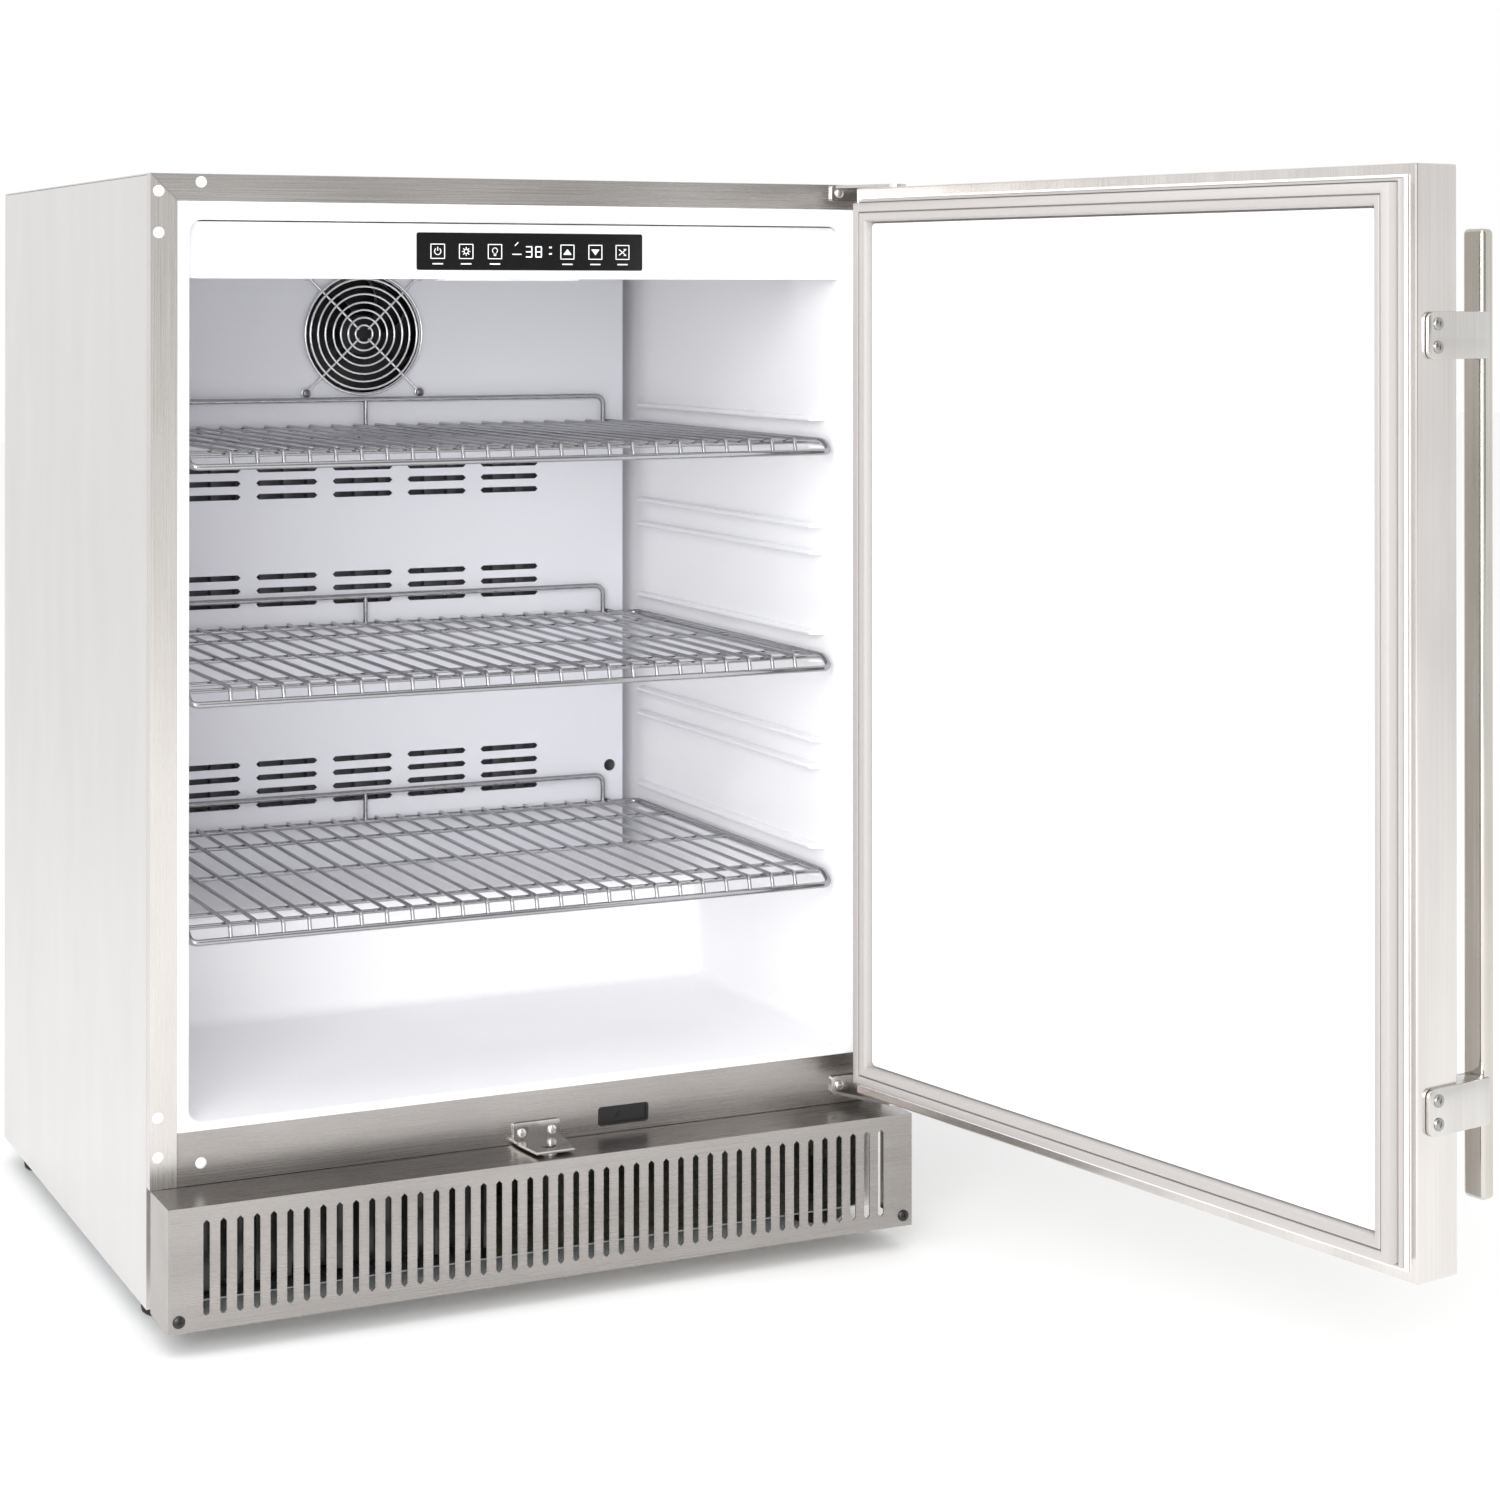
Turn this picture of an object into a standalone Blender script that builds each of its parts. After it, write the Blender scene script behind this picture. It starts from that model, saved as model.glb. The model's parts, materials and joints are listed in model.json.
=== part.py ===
"""Undercounter refrigerator: a foamed stainless cabinet with a right-hung door, three wire shelves,
a fan-cooled back wall and a machine compartment that breathes through a slotted toe grille.

Units are metres. +Z is up, +Y points from the door into the cabinet, +X is the hinge side.
"""

import math

import bmesh
import bpy
from mathutils import Matrix, Vector

# ---------------------------------------------------------------- driving sizes: cabinet
CABINET_WIDTH = 0.600
CABINET_DEPTH = 0.529
CABINET_HEIGHT = 0.851
FOOT_HEIGHT = 0.018
STEEL = 0.001
MOULDING = 0.002
GAP = 0.0003
FOLD_STEP = 0.00006

# ---------------------------------------------------------------- front frame and toe grille
FRAME_SIDE_WIDTH = 0.020
FRAME_TOP_HEIGHT = 0.020
FRAME_BOTTOM_HEIGHT = 0.0395
FRAME_RETURN = 0.010
KICK_HEIGHT = 0.0895
KICK_PROJECTION = 0.0534
KICK_SLOT_PITCH = 0.01236
KICK_SLOT_WIDTH = 0.0048
KICK_SLOT_MARGIN = 0.0100
KICK_SLOT_SIDE_MARGIN = 0.0255
PLUG_RADIUS = 0.0042
PLUG_RISE = 0.0022

# ---------------------------------------------------------------- liner and cavity
SIDE_WALL = 0.0305
TOP_WALL = 0.0335
BACK_WALL = 0.039
FLOOR_LIP = 0.005
MOUTH_RADIUS = 0.006
HUMP_DEPTH = 0.190
HUMP_HEIGHT = 0.093
FLOOR_FOAM = 0.035
GUIDE_LEVELS = 5
GUIDE_DEPTH = 0.010
GUIDE_THICKNESS = 0.004
GUIDE_OPENING = 0.0183
GUIDE_FRONT = 0.042
BOTTOM_SHELF_RISE = 0.137
TOP_SHELF_DROP = 0.1755

# ---------------------------------------------------------------- cold air duct
COVER_DEPTH = 0.050
COVER_SIDE_GAP = 0.017
VENT_COLUMNS = 5
VENT_PITCH = 0.070
VENT_LENGTH = 0.056
VENT_WIDTH = 0.005
VENT_ROW_PITCH = 0.012
VENT_GROUPS = ((0.632, 3), (0.465, 3), (0.175, 4))
FAN_SIZE = 0.120
FAN_DEPTH = 0.025
FAN_DROP = 0.0905
FAN_OPENING_RADIUS = 0.053
GUARD_RING_RADII = (0.0079, 0.0148, 0.0217, 0.0285, 0.0360, 0.0428, 0.0497, 0.0545)
GUARD_WIRE_RADIUS = 0.0011
GUARD_LEG_REACH = 0.0748

# ---------------------------------------------------------------- control fascia
FASCIA_FRONT = 0.018
FASCIA_HEIGHT = 0.0423
FASCIA_DEPTH = 0.085
FASCIA_RADIUS = 0.0085
PANEL_WIDTH = 0.1865
PANEL_HEIGHT = 0.0285
PANEL_OFFSET = 0.0027
LAMP_LENGTH = 0.120

# ---------------------------------------------------------------- shelves
SHELF_SIDE_GAP = 0.005
SHELF_FRONT = 0.0225
SHELF_BACK_GAP = 0.008
SHELF_WIRE_PITCH = 0.0203
SHELF_ROD_RADIUS = 0.0025
SHELF_WIRE_RADIUS = 0.0017
SHELF_CROSS_RADIUS = 0.0018
SHELF_NOSE_DROP = 0.0085
SHELF_RAIL_RISE = 0.026
SHELF_RAIL_INSET = 0.035

# ---------------------------------------------------------------- door
DOOR_OPEN_ANGLE = math.radians(100.5)
DOOR_THICKNESS = 0.038
DOOR_GASKET_SPACE = 0.014
DOOR_SIDE_INSET = 0.001
DOOR_TOP_INSET = 0.004
DOOR_BOTTOM_RISE = 0.0165
DOOR_LIP = 0.011
GASKET_INSET = 0.0098
GASKET_WIDTH = 0.0175
HINGE_SIDE_INSET = 0.012
HINGE_FORWARD = 0.041
HINGE_PIN_RADIUS = 0.004
HINGE_PLATE = 0.0025
HINGE_GAP = 0.006

# ---------------------------------------------------------------- handle and lock
HANDLE_WIDTH = 0.018
HANDLE_THICKNESS = 0.012
HANDLE_STANDOFF = 0.034
HANDLE_INSET = 0.012
HANDLE_END_MARGIN = 0.0415
HANDLE_BRACKET_HEIGHT = 0.031
HANDLE_TOP_BRACKET_DROP = 0.1115
HANDLE_BOTTOM_BRACKET_RISE = 0.1093
BRACKET_PLATE = 0.003
LOCK_RADIUS = 0.0095
LOCK_RISE = 0.028
BOLT_RADIUS = 0.004
BOLT_FORWARD = 0.029
BOLT_LENGTH = 0.014
STRIKE_WIDTH = 0.038
STRIKE_PLATE = 0.002

# ---------------------------------------------------------------- machine compartment
FOOT_RADIUS = 0.018
FOOT_SIDE_INSET = 0.032
FOOT_FRONT_INSET = 0.060
FOOT_BACK_INSET = 0.045
STUD_RADIUS = 0.004
STUD_LENGTH = 0.030
COMPRESSOR_RADIUS = 0.060
COMPRESSOR_HEIGHT = 0.165
MACHINE_FAN_SIZE = 0.080

# ---------------------------------------------------------------- finishes: colour, roughness, metallic
FINISHES = {
    "stainless": ((0.62, 0.61, 0.59), 0.32, 1.0),
    "bright_steel": ((0.74, 0.73, 0.71), 0.18, 1.0),
    "galvanised": ((0.55, 0.56, 0.57), 0.45, 1.0),
    "white_moulding": ((0.90, 0.90, 0.91), 0.38, 0.0),
    "grey_sheet": ((0.70, 0.70, 0.73), 0.45, 0.0),
    "gasket_grey": ((0.60, 0.61, 0.61), 0.55, 0.0),
    "black_plastic": ((0.03, 0.03, 0.035), 0.45, 0.0),
    "black_glass": ((0.015, 0.015, 0.018), 0.08, 0.0),
    "black_paint": ((0.02, 0.02, 0.02), 0.40, 0.0),
    "foam": ((0.85, 0.74, 0.45), 0.90, 0.0),
    "lens": ((0.92, 0.93, 0.94), 0.25, 0.0),
    "aluminium": ((0.78, 0.79, 0.80), 0.35, 1.0),
    "foot_rubber": ((0.04, 0.04, 0.04), 0.70, 0.0),
}

# ---------------------------------------------------------------- derived planes
HALF_WIDTH = CABINET_WIDTH / 2
BODY_BOTTOM = FOOT_HEIGHT
BODY_TOP = CABINET_HEIGHT
KICK_TOP = BODY_BOTTOM + KICK_HEIGHT
BAND_TOP = KICK_TOP + FRAME_BOTTOM_HEIGHT
CAVITY_HALF = HALF_WIDTH - SIDE_WALL
CAVITY_FLOOR = BAND_TOP + FLOOR_LIP
CAVITY_TOP = BODY_TOP - TOP_WALL
CAVITY_BACK = CABINET_DEPTH - BACK_WALL
HUMP_FRONT = CAVITY_BACK - HUMP_DEPTH
HUMP_TOP = CAVITY_FLOOR + HUMP_HEIGHT
FOAM_BOTTOM = CAVITY_FLOOR - MOULDING - FLOOR_FOAM
MACHINE_TOP = HUMP_TOP - MOULDING - 0.025
MACHINE_FRONT = HUMP_FRONT + 0.025
COVER_FRONT = CAVITY_BACK - COVER_DEPTH
COVER_HALF = CAVITY_HALF - COVER_SIDE_GAP
COVER_BOTTOM = HUMP_TOP + GAP
COVER_TOP = CAVITY_TOP - GAP
FAN_HEIGHT = COVER_TOP - FAN_DROP
LEVEL_PITCH = (CAVITY_TOP - CAVITY_FLOOR - BOTTOM_SHELF_RISE - TOP_SHELF_DROP) / (GUIDE_LEVELS - 1)
LEVELS = [CAVITY_FLOOR + BOTTOM_SHELF_RISE + i * LEVEL_PITCH for i in range(GUIDE_LEVELS)]
SHELF_HALF = CAVITY_HALF - SHELF_SIDE_GAP
SHELF_BACK = COVER_FRONT - SHELF_BACK_GAP
DOOR_HALF = HALF_WIDTH - DOOR_SIDE_INSET
DOOR_TOP = BODY_TOP - DOOR_TOP_INSET
DOOR_BOTTOM = KICK_TOP + DOOR_BOTTOM_RISE
DOOR_INNER = -DOOR_GASKET_SPACE
DOOR_OUTER = DOOR_INNER - DOOR_THICKNESS
HINGE_X = HALF_WIDTH - HINGE_SIDE_INSET
HINGE_Y = -HINGE_FORWARD
LOCK_HEIGHT = DOOR_BOTTOM + LOCK_RISE
MACHINE_FLOOR = BODY_BOTTOM + GAP + STEEL


# ---------------------------------------------------------------- scene helpers
def clear_scene():
    """Remove everything that is in the file when it starts."""
    for item in list(bpy.data.objects):
        bpy.data.objects.remove(item, do_unlink=True)


def new_collection(name):
    """Make a collection and link it to the scene."""
    collection = bpy.data.collections.new(name)
    bpy.context.scene.collection.children.link(collection)
    return collection


clear_scene()
PARTS = new_collection("undercounter_refrigerator")
CUTTERS = new_collection("construction_shapes")


def new_material(name, finish):
    """A Principled material in one of the finishes."""
    colour, roughness, metallic = FINISHES[finish]
    material = bpy.data.materials.new(name)
    material.use_nodes = True
    shader = material.node_tree.nodes["Principled BSDF"]
    shader.inputs["Base Color"].default_value = (*colour, 1.0)
    shader.inputs["Roughness"].default_value = roughness
    shader.inputs["Metallic"].default_value = metallic
    return material


def add_object(name, mesh, finish):
    """Put a mesh in the scene: a part when it has a finish, otherwise a construction shape."""
    body = bpy.data.objects.new(name, mesh)
    if finish is None:
        CUTTERS.objects.link(body)
        body.hide_render = True
        body.display_type = "WIRE"
    else:
        PARTS.objects.link(body)
        mesh.materials.append(new_material(name, finish))
    return body


def finish_mesh(shape, name, weld=1e-6):
    """Weld, orient and store a bmesh."""
    bmesh.ops.remove_doubles(shape, verts=shape.verts, dist=weld)
    bmesh.ops.recalc_face_normals(shape, faces=shape.faces)
    mesh = bpy.data.meshes.new(name)
    shape.to_mesh(mesh)
    shape.free()
    return mesh


def box(name, finish, low, high):
    """A block between two opposite corners."""
    shape = bmesh.new()
    bmesh.ops.create_cube(shape, size=1.0)
    for vertex in shape.verts:
        vertex.co = [high[i] if vertex.co[i] > 0 else low[i] for i in range(3)]
    return add_object(name, finish_mesh(shape, name), finish)


def curve_to_bmesh(curve, name):
    """Turn a curve into a bmesh and clear the curve away."""
    holder = bpy.data.objects.new(name, curve)
    flat = bpy.data.meshes.new_from_object(holder)
    shape = bmesh.new()
    shape.from_mesh(flat)
    bpy.data.objects.remove(holder)
    bpy.data.curves.remove(curve)
    bpy.data.meshes.remove(flat)
    return shape


# An outline's two directions for each axis that it can be drawn out along.
PLANES = {"x": ("y", "z"), "y": ("x", "z"), "z": ("x", "y")}


def prism(name, finish, outline, axis, low, high, holes=()):
    """A flat outline with any holes, drawn out along one axis from low to high."""
    curve = bpy.data.curves.new(name, "CURVE")
    curve.dimensions = "2D"
    curve.fill_mode = "BOTH"
    curve.extrude = 0.5
    for loop in (outline, *holes):
        spline = curve.splines.new("POLY")
        spline.points.add(len(loop) - 1)
        for point, (across, up) in zip(spline.points, loop):
            point.co = (across, up, 0.0, 1.0)
        spline.use_cyclic_u = True
    shape = curve_to_bmesh(curve, name)
    first, second = PLANES[axis]
    for vertex in shape.verts:
        across, up, along = vertex.co
        setattr(vertex.co, first, across)
        setattr(vertex.co, second, up)
        setattr(vertex.co, axis, high if along > 0 else low)
    return add_object(name, finish_mesh(shape, name), finish)


def wires(name, finish, paths, radius, smoothness=1):
    """Round wires along paths of points, all in one object."""
    curve = bpy.data.curves.new(name, "CURVE")
    curve.dimensions = "3D"
    curve.bevel_depth = radius
    curve.bevel_resolution = smoothness
    curve.use_fill_caps = True
    for path, closed in paths:
        spline = curve.splines.new("POLY")
        spline.points.add(len(path) - 1)
        for point, place in zip(spline.points, path):
            point.co = (*place, 1.0)
        spline.use_cyclic_u = closed
    return add_object(name, finish_mesh(curve_to_bmesh(curve, name), name), finish)


def turned(name, finish, profile, origin, turn=(0.0, 0.0, 0.0), steps=24):
    """A lathe shape: the profile gives (radius, height) from the top down its outer side."""
    shape = bmesh.new()
    line = [shape.verts.new((radius, 0.0, height)) for radius, height in profile]
    for first, second in zip(line, line[1:]):
        shape.edges.new((first, second))
    mesh = bpy.data.meshes.new(name)
    shape.to_mesh(mesh)
    shape.free()
    body = add_object(name, mesh, finish)
    body.location = origin
    body.rotation_euler = turn
    screw = body.modifiers.new("turn", "SCREW")
    screw.steps = steps
    screw.render_steps = steps
    screw.use_merge_vertices = True
    screw.merge_threshold = 0.00002
    return body


def combine(body, other, operation):
    """Add a Boolean of another shape to a body."""
    modifier = body.modifiers.new(operation.lower(), "BOOLEAN")
    modifier.operation = operation
    modifier.solver = "EXACT"
    modifier.object = other
    return body


def cut(body, *tools):
    """Cut each tool away from a body."""
    for tool in tools:
        combine(body, tool, "DIFFERENCE")
    return body


def weld(body, *pieces):
    """Join each piece to a body as one solid."""
    for piece in pieces:
        combine(body, piece, "UNION")
    return body


def bevel(body, width, segments=2, angle=50.0):
    """Round the edges that turn more than an angle."""
    modifier = body.modifiers.new("edge", "BEVEL")
    modifier.width = width
    modifier.segments = segments
    modifier.limit_method = "ANGLE"
    modifier.angle_limit = math.radians(angle)
    return body


# ---------------------------------------------------------------- outline helpers
def arc(across, up, radius, start, end, steps):
    """Points along an arc, angles in degrees."""
    points = []
    for i in range(steps + 1):
        angle = math.radians(start + (end - start) * i / steps)
        points.append((across + radius * math.cos(angle), up + radius * math.sin(angle)))
    return points


def circle(across, up, radius, steps=24):
    """The outline of a circle."""
    return arc(across, up, radius, 0.0, 360.0 - 360.0 / steps, steps - 1)


def rounded(low_across, low_up, high_across, high_up, radius, steps=3):
    """A rectangle with rounded corners."""
    points = arc(high_across - radius, high_up - radius, radius, 0, 90, steps)
    points += arc(low_across + radius, high_up - radius, radius, 90, 180, steps)
    points += arc(low_across + radius, low_up + radius, radius, 180, 270, steps)
    points += arc(high_across - radius, low_up + radius, radius, 270, 360, steps)
    return points


def rectangle(low_across, low_up, high_across, high_up):
    """The outline of a rectangle between two corners."""
    return [
        (low_across, low_up),
        (high_across, low_up),
        (high_across, high_up),
        (low_across, high_up),
    ]


def stadium(across, up, length, width, upright, steps=2):
    """A slot with half-round ends."""
    half = (length - width) / 2
    radius = width / 2
    if upright:
        points = arc(across, up + half, radius, 0, 180, steps)
        return points + arc(across, up - half, radius, 180, 360, steps)
    points = arc(across + half, up, radius, -90, 90, steps)
    return points + arc(across - half, up, radius, 90, 270, steps)


def offset_path(path, thickness):
    """Close an open path into a strip of even thickness on its left side."""
    inner = []
    for i, point in enumerate(path):
        here = Vector(point)
        before = Vector(path[i - 1]) if i else None
        after = Vector(path[i + 1]) if i + 1 < len(path) else None
        first = (here - before).normalized() if before else (after - here).normalized()
        second = (after - here).normalized() if after else first
        middle = Vector((-(first.y + second.y), first.x + second.x)).normalized()
        normal = Vector((-first.y, first.x))
        inner.append(tuple(here + middle * thickness / middle.dot(normal)))
    return list(path) + inner[::-1]


# ---------------------------------------------------------------- joints
def joint(name, place, parent=None):
    """An empty on a joint's axis, which carries the pieces that move with it."""
    pivot = bpy.data.objects.new(name, None)
    PARTS.objects.link(pivot)
    pivot.empty_display_size = 0.03
    pivot.location = place
    if parent:
        pivot.parent = parent
        pivot.location = Vector(place) - parent.location
    return pivot


def carry(parent, place, *bodies):
    """Hang bodies, and the shapes that their Booleans use, on a joint that stands at a place."""
    for body in bodies:
        body.parent = parent
        body.matrix_parent_inverse = Matrix.Translation(-Vector(place))
        for modifier in body.modifiers:
            if modifier.type == "BOOLEAN" and modifier.object.parent is None:
                carry(parent, place, modifier.object)


# ---------------------------------------------------------------- outer cabinet
def channel_panel(name, side):
    """A side panel: one sheet with its front and back edges folded inwards."""
    outer = side * HALF_WIDTH
    fold = side * (HALF_WIDTH - 0.012)
    front = FRAME_RETURN + GAP
    path = [(fold, front), (outer, front), (outer, CABINET_DEPTH), (fold, CABINET_DEPTH)]
    strip = offset_path(path, side * STEEL)
    return prism(name, "stainless", strip, "z", BODY_BOTTOM, BODY_TOP - STEEL - GAP)


def make_outer_cabinet():
    """Fold the two side panels, the top panel, the back and the machine compartment cover."""
    left = channel_panel("side_panel_left", -1)
    right = channel_panel("side_panel_right", 1)
    top = box(
        "top_panel",
        "stainless",
        (-HALF_WIDTH, FRAME_RETURN + GAP, BODY_TOP - STEEL),
        (HALF_WIDTH, CABINET_DEPTH, BODY_TOP),
    )
    back_plane = CABINET_DEPTH - STEEL - GAP
    inside = HALF_WIDTH - STEEL - GAP
    split = MACHINE_TOP
    back = prism(
        "back_panel",
        "galvanised",
        rectangle(-inside, split + GAP, inside, BODY_TOP - STEEL - GAP),
        "y",
        back_plane - STEEL,
        back_plane,
    )
    louvres = []
    for row in range(4):
        for column in range(3):
            across = (column - 1.0) * 0.150
            up = split - 0.050 - row * 0.016
            louvres.append(stadium(across, up, 0.130, 0.007, False))
    gland = circle(-HALF_WIDTH + 0.100, BODY_BOTTOM + 0.045, 0.0083, 20)
    cover = prism(
        "machine_cover",
        "galvanised",
        rectangle(-inside, MACHINE_FLOOR + GAP, inside, split),
        "y",
        back_plane - STEEL,
        back_plane,
        louvres + [gland],
    )
    bush = turned(
        "cord_gland",
        "black_plastic",
        [
            (0.0042, 0.0050),
            (0.0110, 0.0050),
            (0.0110, 0.0015),
            (0.0080, 0.0015),
            (0.0080, -0.0080),
            (0.0042, -0.0080),
            (0.0042, 0.0050),
        ],
        (-HALF_WIDTH + 0.100, CABINET_DEPTH, BODY_BOTTOM + 0.045),
        (math.radians(-90), 0, 0),
        20,
    )
    return [left, right, top, back, cover, bush]


# ---------------------------------------------------------------- front frame
PLUG_PLACES = {
    "plug_upper_left_high": (-HALF_WIDTH + 0.0061, BODY_TOP - 0.0130),
    "plug_upper_left_low": (-HALF_WIDTH + 0.0061, BODY_TOP - 0.0435),
    "plug_top": (-HALF_WIDTH + 0.0376, BODY_TOP - 0.0060),
    "plug_lower_left_high": (-HALF_WIDTH + 0.0061, KICK_TOP + 0.0525),
    "plug_lower_left_low": (-HALF_WIDTH + 0.0061, KICK_TOP + 0.0235),
    "plug_bottom": (-HALF_WIDTH + 0.0378, KICK_TOP + 0.0160),
}


def plug_hole(place):
    """The drilled hole that a plug's stem fills."""
    across, up = place
    return prism("drill", None, circle(across, up, 0.0026, 12), "y", -0.005, 0.005)


def mitre_tool(side, upper):
    """A wedge that trims a frame band to the corner's diagonal."""
    reach = 0.060
    slack = -GAP / 2
    corner = (side * HALF_WIDTH, BODY_TOP)
    run = -side * reach
    # The two bands meet on the diagonal that falls from the outer corner.
    if upper:
        start = (corner[0] + side * reach, corner[1] + reach + slack)
        end = (corner[0] + run, corner[1] - reach + slack)
        outline = [start, end, (end[0], end[1] + 3 * reach), (start[0], start[1] + 3 * reach)]
    else:
        start = (corner[0] + side * reach, corner[1] + reach - slack)
        end = (corner[0] + run, corner[1] - reach - slack)
        outline = [start, end, (end[0], end[1] - 3 * reach), (start[0], start[1] - 3 * reach)]
    return prism("mitre", None, outline, "y", -0.02, 0.03)


def side_band(name, side):
    """A side band of the front frame: face and folded return in one strip."""
    path = [
        (side * (HALF_WIDTH - FRAME_SIDE_WIDTH), 0.0),
        (side * HALF_WIDTH, 0.0),
        (side * HALF_WIDTH, FRAME_RETURN),
    ]
    strip = offset_path(path, side * STEEL)
    band = prism(name, "stainless", strip, "z", KICK_TOP + GAP, BODY_TOP + 0.002)
    cut(band, mitre_tool(side, True))
    return band


def make_front_frame():
    """Make the four folded bands of the front frame, mitred at the corners."""
    left = side_band("frame_left", -1)
    right = side_band("frame_right", 1)
    path = [
        (0.0, BODY_TOP - FRAME_TOP_HEIGHT),
        (0.0, BODY_TOP),
        (FRAME_RETURN, BODY_TOP),
    ]
    strip = offset_path(path, -STEEL)
    top = prism("frame_top", "stainless", strip, "x", -HALF_WIDTH, HALF_WIDTH)
    cut(top, mitre_tool(-1, False), mitre_tool(1, False))
    inner = HALF_WIDTH - FRAME_SIDE_WIDTH - GAP
    face = prism(
        "frame_bottom",
        "stainless",
        rectangle(-inner, KICK_TOP + GAP, inner, BAND_TOP),
        "y",
        0.0,
        STEEL,
        [sensor_outline(0.0)],
    )
    shelf_fold = box(
        "band_fold",
        None,
        (-inner, STEEL / 2, KICK_TOP + GAP),
        (inner, 0.009, KICK_TOP + GAP + STEEL),
    )
    weld(face, shelf_fold)
    plugs = []
    for name, place in PLUG_PLACES.items():
        band = {"plug_top": top, "plug_bottom": face}.get(name, left)
        cut(band, plug_hole(place))
        plugs.append(make_plug(name, place))
    return [left, right, top, face, *plugs]


def make_plug(name, place):
    """A domed hole plug with a stem that grips the hole."""
    across, up = place
    dome = [(0.0, PLUG_RISE)]
    for step in range(1, 4):
        angle = math.radians(90 - step * 26)
        dome.append((PLUG_RADIUS * math.cos(angle), PLUG_RISE * math.sin(angle)))
    dome += [(PLUG_RADIUS, GAP), (0.0023, GAP), (0.0023, -0.004), (0.0, -0.004)]
    return turned(name, "white_moulding", dome, (across, 0, up), (math.radians(90), 0, 0), 12)


def sensor_outline(slack):
    """The oblong pocket in the bottom band for the door sensor."""
    across = 0.0729
    up = KICK_TOP + 0.0130
    return rounded(
        across - 0.0212 - slack,
        up - 0.0074 - slack,
        across + 0.0212 + slack,
        up + 0.0074 + slack,
        0.0022,
    )


def make_door_sensor():
    """A black insert with a recessed face and a small round boss."""
    body = prism("door_sensor", "black_plastic", sensor_outline(-GAP), "y", -0.0006, 0.0085)
    across = 0.0729
    up = KICK_TOP + 0.0130
    recess = prism(
        "sensor_recess",
        None,
        rounded(across - 0.0190, up - 0.0055, across + 0.0190, up + 0.0055, 0.0015),
        "y",
        -0.002,
        0.0008,
    )
    boss = prism("sensor_boss", None, circle(across - 0.003, up - 0.001, 0.0030, 14), "y", 0.0001, 0.002)
    return weld(cut(body, recess), boss)


# ---------------------------------------------------------------- moulded liner
def guide_rib(side, bottom):
    """A shelf guide moulded on a side wall, with tapered ends."""
    wall = side * (CAVITY_HALF + MOULDING / 2)
    crest = side * (CAVITY_HALF - GUIDE_DEPTH)
    back = COVER_FRONT - 0.008
    outline = [
        (wall, GUIDE_FRONT - 0.006),
        (side * (CAVITY_HALF - 0.0035), GUIDE_FRONT),
        (crest, GUIDE_FRONT + 0.012),
        (crest, back - 0.010),
        (side * (CAVITY_HALF - 0.0035), back),
        (wall, back + 0.004),
    ]
    return prism("guide", None, outline, "z", bottom, bottom + GUIDE_THICKNESS)


def liner_side(name, side):
    """One side of the liner: front lip, rounded mouth, wall and paired shelf guides."""
    centre = side * (CAVITY_HALF + MOUTH_RADIUS)
    mouth_y = STEEL + GAP + MOUTH_RADIUS
    if side < 0:
        mouth = arc(centre, mouth_y, MOUTH_RADIUS, -90, 0, 4)
    else:
        mouth = arc(centre, mouth_y, MOUTH_RADIUS, 270, 180, 4)
    path = [(side * (HALF_WIDTH - 0.010), STEEL + GAP), *mouth, (side * CAVITY_HALF, CAVITY_BACK - GAP)]
    strip = offset_path(path, -side * MOULDING)
    wall = prism(name, "white_moulding", strip, "z", CAVITY_FLOOR - MOULDING, CAVITY_TOP + MOULDING)
    under_step = [
        *step_profile(MOULDING),
        (CAVITY_BACK + 0.02, HUMP_TOP - MOULDING),
        (CAVITY_BACK + 0.02, 0.0),
        (HUMP_FRONT - 0.012, 0.0),
    ]
    cut(wall, prism("under_step", None, under_step, "x", -HALF_WIDTH, HALF_WIDTH))
    for level in LEVELS:
        lower = level - SHELF_ROD_RADIUS - GAP - GUIDE_THICKNESS
        weld(wall, guide_rib(side, lower), guide_rib(side, lower + GUIDE_THICKNESS + GUIDE_OPENING))
    return wall


def step_profile(depth):
    """The rounded foot and crest of the compressor step, some way below the liner's face."""
    foot = arc(HUMP_FRONT - 0.012, CAVITY_FLOOR + 0.012, 0.012 + depth, 270, 356, 5)
    crest = arc(HUMP_FRONT + 0.014, HUMP_TOP - 0.010, 0.010 - depth, 176, 90, 5)
    return foot + crest


def make_liner():
    """Form the white liner: two ribbed sides, a top, a back and a stepped floor."""
    left = liner_side("liner_left", -1)
    right = liner_side("liner_right", 1)
    inside = CAVITY_HALF - GAP
    mouth_y = STEEL + GAP + MOUTH_RADIUS
    lip_y = STEEL + GAP
    roof_mouth = arc(mouth_y, CAVITY_TOP + MOUTH_RADIUS, MOUTH_RADIUS, 180, 270, 4)
    roof_path = [(lip_y, BODY_TOP - 0.012), *roof_mouth, (CAVITY_BACK - GAP, CAVITY_TOP)]
    roof = prism(
        "liner_top", "white_moulding", offset_path(roof_path, MOULDING), "x", -inside, inside
    )
    floor_mouth = arc(mouth_y, CAVITY_FLOOR - MOUTH_RADIUS, MOUTH_RADIUS, 180, 90, 4)
    floor_path = [
        (lip_y, BAND_TOP - 0.012),
        *floor_mouth,
        *step_profile(0.0),
        (CAVITY_BACK - GAP, HUMP_TOP),
    ]
    floor = prism(
        "liner_floor", "white_moulding", offset_path(floor_path, -MOULDING), "x", -inside, inside
    )
    back = box(
        "liner_back",
        "white_moulding",
        (-inside - MOULDING, CAVITY_BACK, HUMP_TOP - 0.004),
        (inside + MOULDING, CAVITY_BACK + MOULDING, CAVITY_TOP + MOULDING),
    )
    return [left, right, roof, floor, back]


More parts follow.
